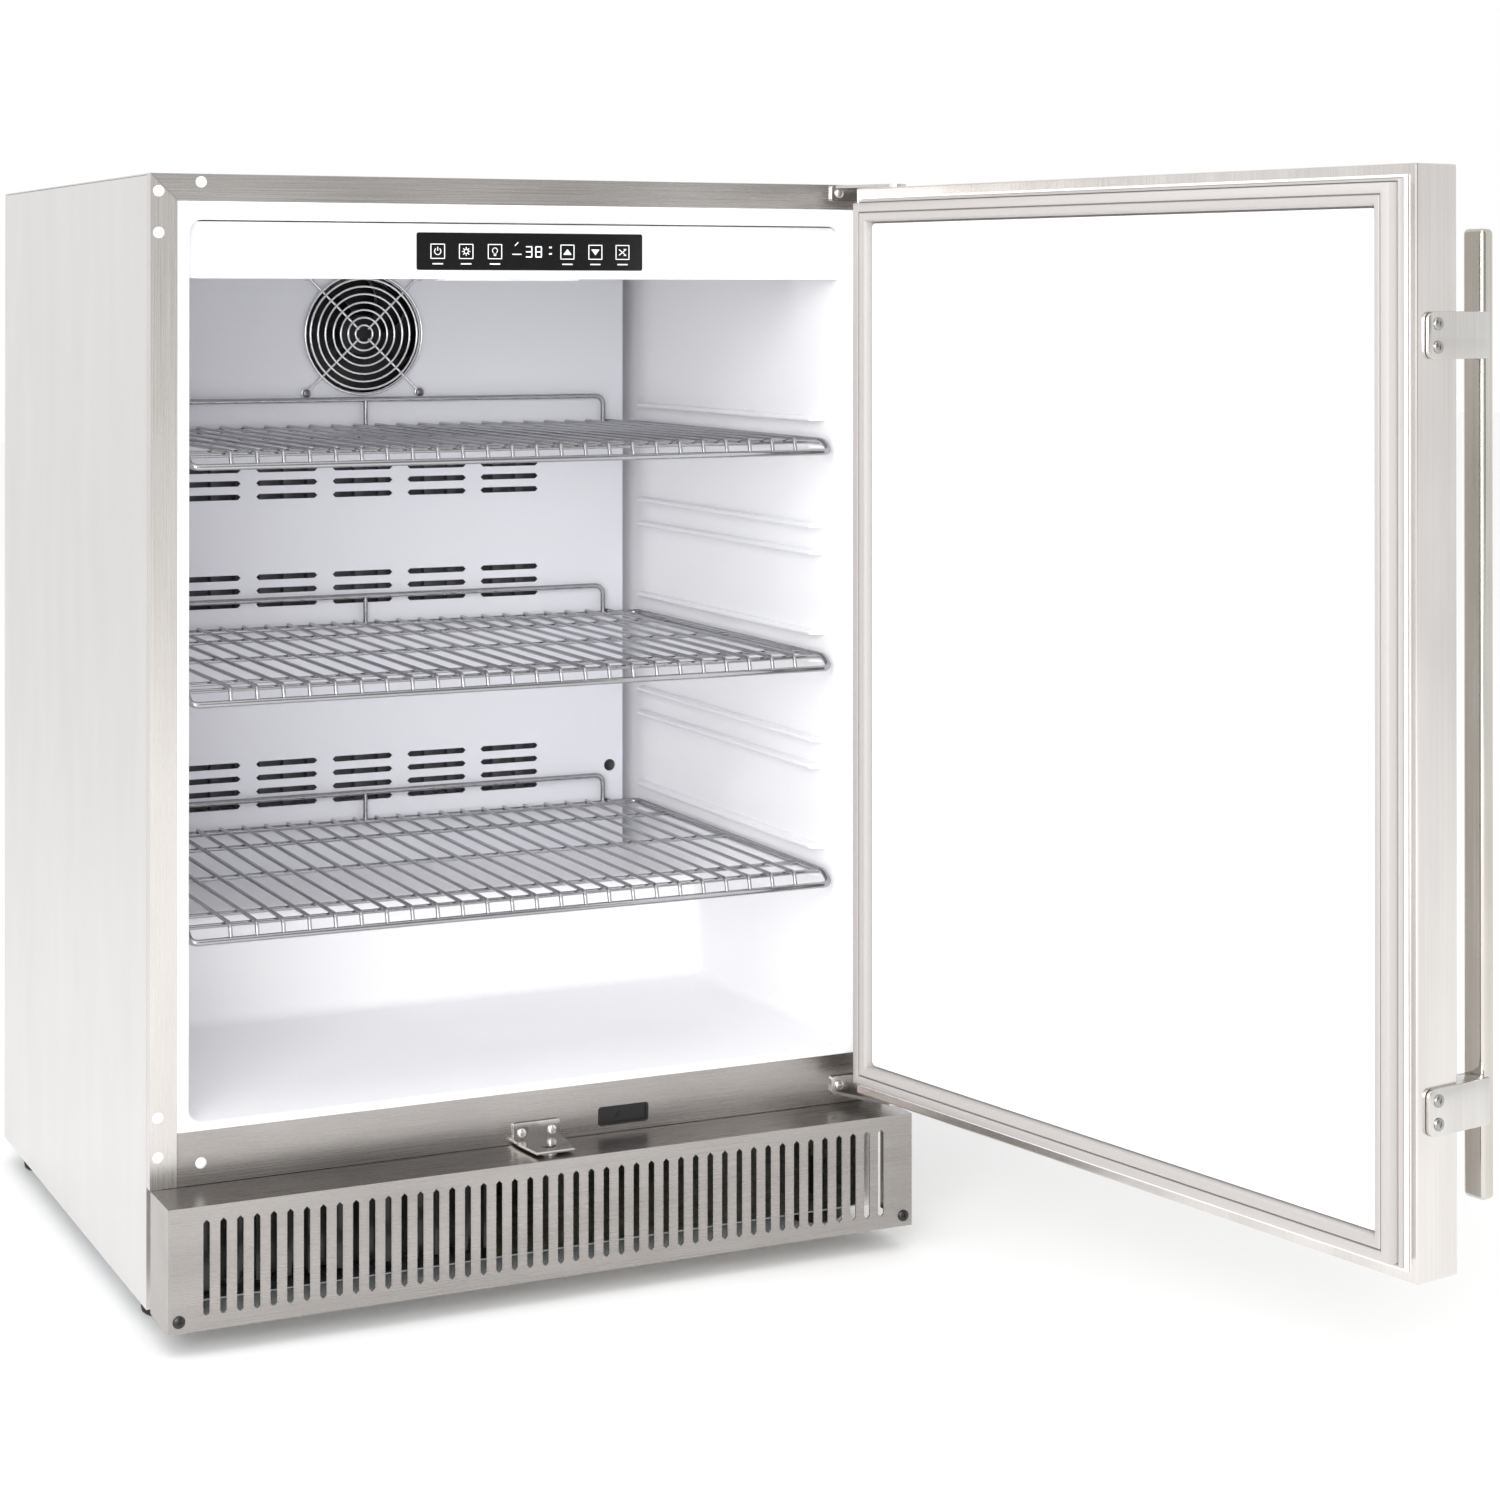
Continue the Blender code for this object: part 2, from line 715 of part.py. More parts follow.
def make_insulation():
    """Foam that fills the walls, with the cavity and the compressor step left out of it."""
    skin = STEEL + GAP
    outer = HALF_WIDTH - skin
    front = FRAME_RETURN + GAP + STEEL + GAP
    back = CABINET_DEPTH - 2 * skin - GAP
    foam = box(
        "insulation", "foam", (-outer, front, FOAM_BOTTOM), (outer, back, BODY_TOP - skin)
    )
    slack = MOULDING + GAP
    cavity = prism(
        "cavity",
        None,
        [
            (-0.05, CAVITY_FLOOR - slack),
            *step_profile(slack),
            (CAVITY_BACK - 0.010, HUMP_TOP - slack),
            (CAVITY_BACK - 0.008, HUMP_TOP - 0.005),
            (CAVITY_BACK + slack, HUMP_TOP - 0.005),
            (CAVITY_BACK + slack, CAVITY_TOP + slack),
            (-0.05, CAVITY_TOP + slack),
        ],
        "x",
        -CAVITY_HALF - slack,
        CAVITY_HALF + slack,
    )
    step = box(
        "compressor_step",
        None,
        (-HALF_WIDTH, MACHINE_FRONT, 0.0),
        (HALF_WIDTH, CABINET_DEPTH + 0.01, MACHINE_TOP),
    )
    return cut(foam, cavity, step)


# ---------------------------------------------------------------- cold air duct
def make_evaporator_cover():
    """Press the duct cover with its fan opening, its air slots and its sensor hole."""
    holes = []
    height = COVER_TOP - COVER_BOTTOM
    for fraction, rows in VENT_GROUPS:
        for row in range(rows):
            up = COVER_BOTTOM + fraction * height - row * VENT_ROW_PITCH
            for column in range(VENT_COLUMNS):
                across = (column - (VENT_COLUMNS - 1) / 2) * VENT_PITCH
                holes.append(stadium(across, up, VENT_LENGTH, VENT_WIDTH, False))
    holes.append(circle(0.0, FAN_HEIGHT, FAN_OPENING_RADIUS, 36))
    holes.append(circle(COVER_HALF - 0.013, COVER_BOTTOM + 0.135 * height, 0.0055, 16))
    plate = box(
        "evaporator_cover",
        "grey_sheet",
        (-COVER_HALF, COVER_FRONT, COVER_BOTTOM),
        (COVER_HALF, COVER_FRONT + STEEL, COVER_TOP),
    )
    for side in (-1, 1):
        edge = side * (COVER_HALF - FOLD_STEP)
        fold = edge - side * STEEL
        low = (min(edge, fold), COVER_FRONT + STEEL / 2, COVER_BOTTOM + FOLD_STEP)
        high = (max(edge, fold), CAVITY_BACK - GAP, COVER_TOP - FOLD_STEP)
        weld(plate, box("cover_fold", None, low, high))
    punch = prism(
        "cover_punch", None, holes[0], "y", COVER_FRONT - 0.01, COVER_FRONT + 0.01, holes[1:]
    )
    return cut(plate, punch)


def finned_coil(name, finish, low, high, fin_pitch, tube_radius):
    """A fin-and-tube heat exchanger: a comb of fins on a core, with end plates and tube ends."""
    fin = fin_pitch * 0.35
    count = int((high[0] - low[0] - fin) / fin_pitch) + 1
    width = (count - 1) * fin_pitch + fin
    start = (low[0] + high[0] - width) / 2
    core_front = low[1] + (high[1] - low[1]) * 0.35
    core_back = low[1] + (high[1] - low[1]) * 0.65
    body = box(name, finish, (start, low[1], low[2]), (start + width, high[1], high[2]))
    for end, side in ((start, -1), (start + width, 1)):
        plate = sorted((end - side * fin / 2, end + side * 0.0015))
        low_corner = (plate[0], low[1] - 0.003, low[2] - 0.002)
        high_corner = (plate[1], high[1] + 0.003, high[2] + 0.002)
        weld(body, box("end_plate", None, low_corner, high_corner))
        for level in (0.2, 0.5, 0.8):
            height = low[2] + (high[2] - low[2]) * level
            stub = prism(
                "tube_end",
                None,
                circle((low[1] + high[1]) / 2, height, tube_radius, 8),
                "x",
                min(end, end + side * 0.008),
                max(end, end + side * 0.008),
            )
            weld(body, stub)
    gaps = []
    for i in range(count - 1):
        left = start + i * fin_pitch + fin
        right = start + (i + 1) * fin_pitch
        gaps.append(rectangle(left, low[1] - 0.01, right, core_front))
        gaps.append(rectangle(left, core_back, right, high[1] + 0.01))
    comb = prism(f"{name}_gaps", None, gaps[0], "z", low[2] - 0.01, high[2] + 0.01, gaps[1:])
    return cut(body, comb)


def fan_blades(name, hub_radius, tip_radius, chord, count, thickness):
    """Twisted blades: each starts as a flat grid that is wrapped round the shaft and pitched."""
    shape = bmesh.new()
    for blade in range(count):
        grid = bmesh.ops.create_grid(shape, x_segments=3, y_segments=2, size=0.5)
        for vertex in grid["verts"]:
            reach = vertex.co.x + 0.5
            across = vertex.co.y
            radius = hub_radius + (tip_radius - hub_radius) * reach
            pitch = math.radians(52 - 24 * reach)
            width = chord * (0.80 + 0.35 * reach)
            sweep = width * across * math.cos(pitch) / radius
            camber = 0.08 * width * (1 - (2 * across) ** 2)
            turn = 2 * math.pi * blade / count + sweep + 0.25 * reach
            lift = width * across * math.sin(pitch) + camber
            vertex.co = (radius * math.cos(turn), radius * math.sin(turn), lift)
    mesh = bpy.data.meshes.new(name)
    shape.to_mesh(mesh)
    shape.free()
    blades = add_object(name, mesh, None)
    shell = blades.modifiers.new("thickness", "SOLIDIFY")
    shell.thickness = thickness
    shell.offset = 0.0
    return blades


def axial_fan(prefix, centre, size, depth, opening, blade_count):
    """A boxed axial fan that blows along Y: its frame with motor struts, and its rotor."""
    across, front, up = centre
    half = size / 2
    back = front + depth
    hub = size * 0.15
    frame = prism(
        f"{prefix}_fan_frame",
        "black_plastic",
        rounded(across - half, up - half, across + half, up + half, size * 0.05),
        "y",
        front,
        back,
        [circle(across, up, opening, 32)],
    )
    for turn in (45, 135):
        strut = box("strut", None, (-opening - 0.003, -0.0015, -0.003), (opening + 0.003, 0.0015, 0.003))
        strut.location = (across, back - 0.0016, up)
        strut.rotation_euler = (0, math.radians(turn), 0)
        weld(frame, strut)
    motor = prism("motor_seat", None, circle(across, up, hub, 20), "y", back - 0.0035, back - 0.0002)
    weld(frame, motor)
    length = depth - 0.0045
    middle = front + length / 2
    profile = [
        (0.0, length / 2),
        (hub * 0.75, length / 2),
        (hub, length / 2 - 0.002),
        (hub, -length / 2),
        (0.0, -length / 2),
    ]
    place = (across, middle, up)
    rotor = turned(
        f"{prefix}_fan_rotor", "black_plastic", profile, place, (math.radians(90), 0, 0), 20
    )
    chord = length * 0.92
    blades = fan_blades(f"{prefix}_blades", hub * 0.9, opening - 0.0025, chord, blade_count, 0.0012)
    blades.location = place
    blades.rotation_euler = (math.radians(90), 0, 0)
    weld(rotor, blades)
    return frame, rotor, place


def make_fan_guard():
    """Concentric finger-guard rings on four legs, each ending in a screw eye."""
    ring_plane = COVER_FRONT - 0.0033
    leg_plane = COVER_FRONT - 0.0017
    rings = []
    for radius in GUARD_RING_RADII:
        steps = 12 if radius < 0.02 else 20
        loop = [(x, ring_plane, z) for x, z in circle(0.0, FAN_HEIGHT, radius, steps)]
        rings.append((loop, True))
    guard = wires("fan_guard", "bright_steel", rings, GUARD_WIRE_RADIUS, 0)
    for quarter in range(4):
        angle = math.radians(45 + 90 * quarter)
        along = Vector((math.cos(angle), 0.0, math.sin(angle)))
        hub = Vector((0.0, leg_plane, FAN_HEIGHT))
        leg = [tuple(hub + along * 0.0060), tuple(hub + along * (GUARD_LEG_REACH - 0.0036))]
        weld(guard, wires("leg", None, [(leg, False)], GUARD_WIRE_RADIUS, 0))
        eye_centre = hub + along * GUARD_LEG_REACH
        eye = [(x, leg_plane, z) for x, z in circle(eye_centre.x, eye_centre.z, 0.0040, 12)]
        weld(guard, wires("eye", None, [(eye, True)], GUARD_WIRE_RADIUS, 0))
    return guard


# ---------------------------------------------------------------- control fascia
def make_fascia():
    """Mould the control fascia as an open box with a seat for the panel and a lamp window."""
    top = CAVITY_TOP - 0.001
    bottom = top - FASCIA_HEIGHT
    half = CAVITY_HALF - 0.0005
    back = FASCIA_FRONT + FASCIA_DEPTH

    def outline(inset):
        points = [(-half + inset, bottom + inset), (half - inset, bottom + inset)]
        radius = FASCIA_RADIUS - inset
        points += arc(half - FASCIA_RADIUS, top - FASCIA_RADIUS, radius, 0, 90, 4)
        points += arc(-half + FASCIA_RADIUS, top - FASCIA_RADIUS, radius, 90, 180, 4)
        return points

    wall = 0.0025
    housing = prism("fascia", "white_moulding", outline(0.0), "y", FASCIA_FRONT, back)
    inside = prism("fascia_inside", None, outline(wall), "y", FASCIA_FRONT + 0.004, back + 0.01)
    middle = (top + bottom) / 2
    seat_outline = panel_outline(middle, GAP)
    seat = prism("panel_seat", None, seat_outline, "y", FASCIA_FRONT - 0.01, FASCIA_FRONT + 0.0015)
    window = prism(
        "lamp_window",
        None,
        stadium(0.0, FASCIA_FRONT + 0.045, LAMP_LENGTH, 0.022, False, 5),
        "z",
        bottom - 0.01,
        bottom + 0.01,
    )
    cut(housing, inside, seat, window)
    panel = prism(
        "control_panel",
        "black_glass",
        panel_outline(middle, 0.0),
        "y",
        FASCIA_FRONT - 0.0007,
        FASCIA_FRONT + 0.0012,
    )
    lens = prism(
        "lamp_lens",
        "lens",
        stadium(0.0, FASCIA_FRONT + 0.045, LAMP_LENGTH - 2 * GAP, 0.022 - 2 * GAP, False, 5),
        "z",
        bottom - 0.0012,
        bottom + 0.0030,
    )
    return [housing, panel, lens]


def panel_outline(middle, slack):
    """The rounded outline of the control panel."""
    half_width = PANEL_WIDTH / 2 + slack
    half_height = PANEL_HEIGHT / 2 + slack
    return rounded(
        PANEL_OFFSET - half_width,
        middle - half_height,
        PANEL_OFFSET + half_width,
        middle + half_height,
        0.0015,
    )


# ---------------------------------------------------------------- strike, hinges and toe grille
def make_strike():
    """An angle plate under the door with the hole that the lock bolt drops into."""
    half = STRIKE_WIDTH / 2
    plate_top = KICK_TOP + 0.0040
    reach = BOLT_FORWARD + 0.014
    plate = prism(
        "strike_bracket",
        "bright_steel",
        [
            (-half, -GAP),
            (-half, -0.012),
            (-half + 0.004, -reach),
            (half - 0.004, -reach),
            (half, -0.012),
            (half, -GAP),
        ],
        "z",
        plate_top - STRIKE_PLATE,
        plate_top,
        [circle(0.0, -BOLT_FORWARD, BOLT_RADIUS + 0.0014, 20)],
    )
    screws = [circle(side * 0.0125, KICK_TOP + 0.0088, 0.0021, 12) for side in (-1, 1)]
    flange = prism(
        "strike_flange",
        None,
        rounded(-half, plate_top - STRIKE_PLATE, half, plate_top + 0.0125, 0.0015, 2),
        "y",
        -GAP - STRIKE_PLATE,
        -GAP,
        screws,
    )
    return weld(plate, flange)


def make_hinge(name, upper):
    """A hinge bracket: face flange, forward arm and a pivot pin, in one piece."""
    if upper:
        plate_low = DOOR_TOP + 0.001
        flange = (DOOR_TOP - 0.0095, plate_low + HINGE_PLATE)
        pin = (plate_low - 0.0135, plate_low + 0.001)
    else:
        plate_low = DOOR_BOTTOM - HINGE_GAP - HINGE_PLATE
        flange = (plate_low, plate_low + 0.0145)
        pin = (plate_low + 0.001, DOOR_BOTTOM + 0.0115)
    tip = HINGE_Y - 0.006
    outline = [
        (HINGE_X - 0.032, -GAP),
        *arc(HINGE_X, tip, 0.0090, 195, 345, 8),
        (HINGE_X + 0.0095, -GAP),
    ]
    arm = prism(name, "stainless", outline, "z", plate_low, plate_low + HINGE_PLATE)
    face = prism(
        "hinge_flange",
        None,
        rounded(HINGE_X - 0.0345, flange[0], HINGE_X + 0.0095, flange[1], 0.0022, 2),
        "y",
        -GAP - HINGE_PLATE,
        -GAP,
        [circle(HINGE_X - 0.028, sum(flange) / 2, 0.0021, 12)],
    )
    pivot = prism(
        "hinge_pin", None, circle(HINGE_X, HINGE_Y, HINGE_PIN_RADIUS, 20), "z", pin[0], pin[1]
    )
    return weld(arm, face, pivot)


def make_kick_grille():
    """The toe grille: a slotted face with its top and sides folded back to the cabinet."""
    inside = HALF_WIDTH - GAP
    front = -KICK_PROJECTION
    bottom = BODY_BOTTOM + GAP
    slot_low = bottom + KICK_SLOT_MARGIN
    slot_high = KICK_TOP - KICK_SLOT_MARGIN
    usable = CABINET_WIDTH - 2 * KICK_SLOT_SIDE_MARGIN - KICK_SLOT_WIDTH
    count = int(usable / KICK_SLOT_PITCH + 1e-6) + 1
    holes = []
    for i in range(count):
        across = (i - (count - 1) / 2) * KICK_SLOT_PITCH
        holes.append(
            stadium(
                across,
                (slot_low + slot_high) / 2,
                slot_high - slot_low,
                KICK_SLOT_WIDTH,
                True,
            )
        )
    for side in (-1, 1):
        holes.append(circle(side * (HALF_WIDTH - 0.008), BODY_BOTTOM + 0.0087, 0.0024, 12))
    face = box(
        "kick_grille",
        "stainless",
        (-inside, front, bottom),
        (inside, front + STEEL, KICK_TOP),
    )
    top = box(
        "kick_top",
        None,
        (-inside + FOLD_STEP, front + STEEL / 2, KICK_TOP - STEEL - FOLD_STEP),
        (inside - FOLD_STEP, -GAP, KICK_TOP - FOLD_STEP),
    )
    weld(face, top)
    for side in (-1, 1):
        edge = side * (inside - 2 * FOLD_STEP)
        fold = edge - side * STEEL
        low = (min(edge, fold), front + STEEL / 2, bottom + FOLD_STEP)
        high = (max(edge, fold), -GAP - FOLD_STEP, KICK_TOP - STEEL / 2)
        weld(face, box("kick_side", None, low, high))
    punch = prism("kick_punch", None, holes[0], "y", front - 0.01, front + 0.01, holes[1:])
    return cut(face, punch)


def make_kick_screw(name, side):
    """A black pan-head screw."""
    profile = [
        (0.0, 0.0024),
        (0.0025, 0.0022),
        (0.0042, 0.0012),
        (0.0044, GAP),
        (0.0020, GAP),
        (0.0020, -0.0090),
        (0.0, -0.0105),
    ]
    across = side * (HALF_WIDTH - 0.008)
    up = BODY_BOTTOM + 0.0087
    screw = turned(
        name, "black_paint", profile, (across, -KICK_PROJECTION, up), (math.radians(90), 0, 0), 12
    )
    return screw


# ---------------------------------------------------------------- wire shelves
def make_shelf(name, level):
    """A wire shelf: rod rim, front-to-back wires nosed down at the front, cross rods and a rear rail."""
    front = SHELF_FRONT
    back = SHELF_BACK
    nose = level - SHELF_NOSE_DROP
    side_path = []
    for side in (-1, 1):
        edge = side * SHELF_HALF
        run = [
            (edge, back - 0.012, level),
            (edge, front + 0.020, level),
            (edge, front + 0.012, level - 0.0015),
            (edge - side * 0.0015, front + 0.005, nose + 0.0020),
            (edge - side * 0.0065, front + 0.0008, nose),
        ]
        corner = [
            (edge - side * 0.0036, back - 0.0036, level),
            (edge - side * 0.012, back, level),
        ]
        side_path.append((run, corner))
    left_run, left_corner = side_path[0]
    right_run, right_corner = side_path[1]
    nose_left = [(-SHELF_HALF + 0.014, front, nose)]
    nose_right = [(SHELF_HALF - 0.014, front, nose)]
    loop = left_run + nose_left + nose_right + right_run[::-1] + right_corner + left_corner[::-1]
    shelf = wires(name, "bright_steel", [(loop, True)], SHELF_ROD_RADIUS, 1)
    half_count = int((SHELF_HALF - 0.006) / SHELF_WIRE_PITCH)
    long_wires = []
    top_wire = level + 1.2 * SHELF_ROD_RADIUS
    for i in range(-half_count, half_count):
        across = (i + 0.5) * SHELF_WIRE_PITCH
        path = [
            (across, back, top_wire),
            (across, front + 0.006, top_wire),
            (across, front, nose),
        ]
        long_wires.append((path, False))
    weld(shelf, wires("long_wires", None, long_wires, SHELF_WIRE_RADIUS, 0))
    rod_plane = top_wire - SHELF_WIRE_RADIUS - GAP - SHELF_CROSS_RADIUS
    rods = []
    for fraction in (0.05, 0.15, 0.50, 0.82):
        depth = front + (back - front) * fraction
        reach = SHELF_HALF - 0.0005
        rods.append(([(-reach, depth, rod_plane), (reach, depth, rod_plane)], False))
    weld(shelf, wires("cross_rods", None, rods, SHELF_CROSS_RADIUS, 1))
    rail_half = SHELF_HALF - SHELF_RAIL_INSET
    rise = SHELF_RAIL_RISE
    rail_y = back - 0.0002
    rail = [
        (-rail_half, rail_y, level),
        (-rail_half, rail_y, level + rise - 0.008),
        (-rail_half + 0.0024, rail_y, level + rise - 0.0024),
        (-rail_half + 0.008, rail_y, level + rise),
        (rail_half - 0.008, rail_y, level + rise),
        (rail_half - 0.0024, rail_y, level + rise - 0.0024),
        (rail_half, rail_y, level + rise - 0.008),
        (rail_half, rail_y, level),
    ]
    weld(shelf, wires("rear_rail", None, [(rail, False)], SHELF_ROD_RADIUS * 0.92, 1))
    post = [(0.0, rail_y, level), (0.0, rail_y, level + rise)]
    weld(shelf, wires("rail_post", None, [(post, False)], SHELF_ROD_RADIUS * 0.80, 1))
    return shelf


# ---------------------------------------------------------------- door
def frame_sweep(name, finish, section, half_width, low, high, plane):
    """A profile swept round a rectangle with mitred corners, by bridging its four corner sections.

    Each section point is (distance in from the outer edge, depth from the plane).
    """
    shape = bmesh.new()
    corners = []
    for across, up in ((-1, -1), (1, -1), (1, 1), (-1, 1)):
        ring = []
        edge_up = high if up > 0 else low
        for inward, depth in section:
            place = (across * (half_width - inward), plane + depth, edge_up - up * inward)
            ring.append(shape.verts.new(place))
        edges = [shape.edges.new((ring[i - 1], ring[i])) for i in range(len(ring))]
        corners.append(edges)
    for i, edges in enumerate(corners):
        bmesh.ops.bridge_loops(shape, edges=edges + corners[(i + 1) % 4])
    return add_object(name, finish_mesh(shape, name), finish)


GASKET_SECTION = (
    (0.0000, 0.0004),
    (0.0003, 0.0085),
    (0.0014, 0.0120),
    (0.0034, 0.0134),
    (0.0062, 0.0137),
    (0.0086, 0.0130),
    (0.0098, 0.0112),
    (0.0110, 0.0112),
    (0.0124, 0.0126),
    (0.0146, 0.0128),
    (0.0160, 0.0112),
    (0.0166, 0.0080),
    (0.0175, 0.0060),
    (0.0175, 0.0004),
)


def make_door():
    """Fold the door skin, form its liner and foam, and run the gasket round its inner face."""
    skin = box(
        "door_skin",
        "stainless",
        (-DOOR_HALF, DOOR_OUTER, DOOR_BOTTOM),
        (DOOR_HALF, DOOR_INNER, DOOR_TOP),
    )
    bevel(skin, 0.0012, 2)
    hollow = box(
        "door_hollow",
        None,
        (-DOOR_HALF + STEEL, DOOR_OUTER + STEEL, DOOR_BOTTOM + STEEL),
        (DOOR_HALF - STEEL, DOOR_INNER - STEEL, DOOR_TOP - STEEL),
    )
    window = box(
        "door_window",
        None,
        (-DOOR_HALF + DOOR_LIP, DOOR_INNER - 0.003, DOOR_BOTTOM + DOOR_LIP),
        (DOOR_HALF - DOOR_LIP, DOOR_INNER + 0.003, DOOR_TOP - DOOR_LIP),
    )
    pin_bore = prism(
        "pin_bore",
        None,
        circle(HINGE_X, HINGE_Y, HINGE_PIN_RADIUS + GAP, 20),
        "z",
        DOOR_BOTTOM - 0.01,
        DOOR_TOP + 0.01,
    )
    lock_bore = prism(
        "lock_bore",
        None,
        circle(0.0, LOCK_HEIGHT, LOCK_RADIUS + GAP, 24),
        "y",
        DOOR_OUTER - 0.01,
        DOOR_OUTER + 0.01,
    )
    bolt_bore = prism(
        "bolt_bore",
        None,
        circle(0.0, -BOLT_FORWARD, BOLT_RADIUS + GAP, 16),
        "z",
        DOOR_BOTTOM - 0.01,
        DOOR_BOTTOM + 0.01,
    )
    cut(skin, hollow, window, pin_bore, lock_bore, bolt_bore)

    slack = STEEL + GAP
    foam = box(
        "door_foam",
        "foam",
        (-DOOR_HALF + slack, DOOR_OUTER + slack, DOOR_BOTTOM + slack),
        (DOOR_HALF - slack, DOOR_INNER - slack - 0.002, DOOR_TOP - slack),
    )
    foam_pins = prism(
        "foam_pins",
        None,
        circle(HINGE_X, HINGE_Y, HINGE_PIN_RADIUS + 2 * GAP, 16),
        "z",
        DOOR_BOTTOM - 0.01,
        DOOR_TOP + 0.01,
    )
    lock_pocket = prism(
        "lock_pocket",
        None,
        rounded(-0.0110, DOOR_BOTTOM - 0.01, 0.0110, LOCK_HEIGHT + 0.012, 0.004),
        "y",
        DOOR_OUTER - 0.01,
        -BOLT_FORWARD + BOLT_RADIUS + 0.0006,
    )
    cut(foam, foam_pins, lock_pocket)

    inner = DOOR_HALF - DOOR_LIP - GAP
    inner_low = DOOR_BOTTOM + DOOR_LIP + GAP
    inner_high = DOOR_TOP - DOOR_LIP - GAP
    panel_back = DOOR_INNER - 0.0030
    panel = prism(
        "door_liner",
        "white_moulding",
        rectangle(-inner, inner_low, inner, inner_high),
        "y",
        panel_back,
        DOOR_INNER,
    )
    step = GASKET_INSET + GASKET_WIDTH - DOOR_LIP + 0.0010
    plinth = prism(
        "door_plinth",
        None,
        rounded(-inner + step, inner_low + step, inner - step, inner_high - step, 0.004, 3),
        "y",
        DOOR_INNER - 0.001,
        DOOR_INNER + 0.0065,
    )
    bevel(plinth, 0.0025, 2, 60)
    weld(panel, plinth)

    gasket = frame_sweep(
        "door_gasket",
        "gasket_grey",
        GASKET_SECTION,
        DOOR_HALF - GASKET_INSET,
        DOOR_BOTTOM + GASKET_INSET,
        DOOR_TOP - GASKET_INSET,
        DOOR_INNER,
    )
    return [skin, foam, panel, gasket]


def handle_bracket(name, middle):
    """A bracket that is screwed to the door's free edge and reaches round to the bar."""
    edge = -DOOR_HALF - GAP
    outside = edge - BRACKET_PLATE
    face = DOOR_OUTER - GAP
    bar_back = DOOR_OUTER - HANDLE_STANDOFF + HANDLE_THICKNESS / 2 + GAP
    inboard = -DOOR_HALF + HANDLE_INSET + 0.004
    outline = [
        (edge, DOOR_INNER - 0.0077),
        (edge, face),
        (inboard - 0.003, face),
        (inboard, face - 0.003),
        (inboard, bar_back),
        (-DOOR_HALF + HANDLE_INSET - 0.007, bar_back),
        (outside + 0.002, bar_back + 0.010),
        (outside, face + 0.004),
        (outside, DOOR_INNER - 0.0077),
    ]
    half = HANDLE_BRACKET_HEIGHT / 2
    bracket = prism(name, "bright_steel", outline, "z", middle - half, middle + half)
    for rise in (-0.0076, 0.0076):
        place = (DOOR_INNER - 0.0165, middle + rise)
        hole = prism("screw_seat", None, circle(*place, 0.0040, 16), "x", outside - 0.002, outside + 0.0012)
        cut(bracket, hole)
    return bracket


def make_handle():
    """Make the bar handle with its two brackets."""
    across = -DOOR_HALF + HANDLE_INSET
    depth = DOOR_OUTER - HANDLE_STANDOFF
    outline = rounded(
        across - HANDLE_WIDTH / 2,
        depth - HANDLE_THICKNESS / 2,
        across + HANDLE_WIDTH / 2,
        depth + HANDLE_THICKNESS / 2,
        0.0045,
        4,
    )
    bar = prism(
        "handle_bar",
        "bright_steel",
        outline,
        "z",
        DOOR_BOTTOM + HANDLE_END_MARGIN,
        DOOR_TOP - HANDLE_END_MARGIN,
    )
    bevel(bar, 0.0008, 1, 60)
    upper = handle_bracket("handle_bracket_top", DOOR_TOP - HANDLE_TOP_BRACKET_DROP)
    lower = handle_bracket("handle_bracket_bottom", DOOR_BOTTOM + HANDLE_BOTTOM_BRACKET_RISE)
    return [bar, upper, lower]


def make_lock():
    """A key barrel in the door face, and the bolt that it drives out of the bottom edge."""
    profile = [
        (0.0, 0.0030),
        (LOCK_RADIUS - 0.0010, 0.0030),
        (LOCK_RADIUS + 0.0015, 0.0022),
        (LOCK_RADIUS + 0.0015, GAP),
        (LOCK_RADIUS, GAP),
        (LOCK_RADIUS, -0.0150),
        (0.0, -0.0150),
    ]
    place = (0.0, DOOR_OUTER, LOCK_HEIGHT)
    barrel = turned("lock_barrel", "bright_steel", profile, place, (math.radians(90), 0, 0), 28)
    key_slot = box(
        "key_slot",
        None,
        (-0.0008, DOOR_OUTER - 0.006, LOCK_HEIGHT - 0.0036),
        (0.0008, DOOR_OUTER + 0.004, LOCK_HEIGHT + 0.0036),
    )
    cut(barrel, key_slot)
    bottom = DOOR_BOTTOM + 0.0005
    bolt_profile = [
        (0.0, BOLT_LENGTH + 0.018),
        (BOLT_RADIUS, BOLT_LENGTH + 0.018),
        (BOLT_RADIUS, 0.0012),
        (BOLT_RADIUS - 0.0012, 0.0),
        (0.0, 0.0),
    ]
    bolt = turned("lock_bolt", "bright_steel", bolt_profile, (0.0, -BOLT_FORWARD, bottom), steps=20)
    return barrel, bolt, place, (0.0, -BOLT_FORWARD, bottom)


# ---------------------------------------------------------------- machine compartment
def foot_places():
    """The four levelling feet: name and position."""
    across = HALF_WIDTH - FOOT_SIDE_INSET
    front = FOOT_FRONT_INSET
    back = CABINET_DEPTH - FOOT_BACK_INSET
    return {
        "foot_front_left": (-across, front),
        "foot_front_right": (across, front),
        "foot_rear_left": (-across, back),
        "foot_rear_right": (across, back),
    }


def make_foot(name, place):
    """A levelling foot: ribbed pad and threaded stud."""
    top = FOOT_HEIGHT - GAP
    profile = [
        (0.0, top + STUD_LENGTH),
        (STUD_RADIUS, top + STUD_LENGTH),
        (STUD_RADIUS, top - 0.003),
        (0.0075, top - 0.003),
        (0.0075, 0.0110),
        (FOOT_RADIUS - 0.005, 0.0090),
        (FOOT_RADIUS, 0.0050),
        (FOOT_RADIUS, 0.0),
        (0.0, 0.0),
    ]
    return turned(name, "foot_rubber", profile, (*place, 0.0), steps=20)


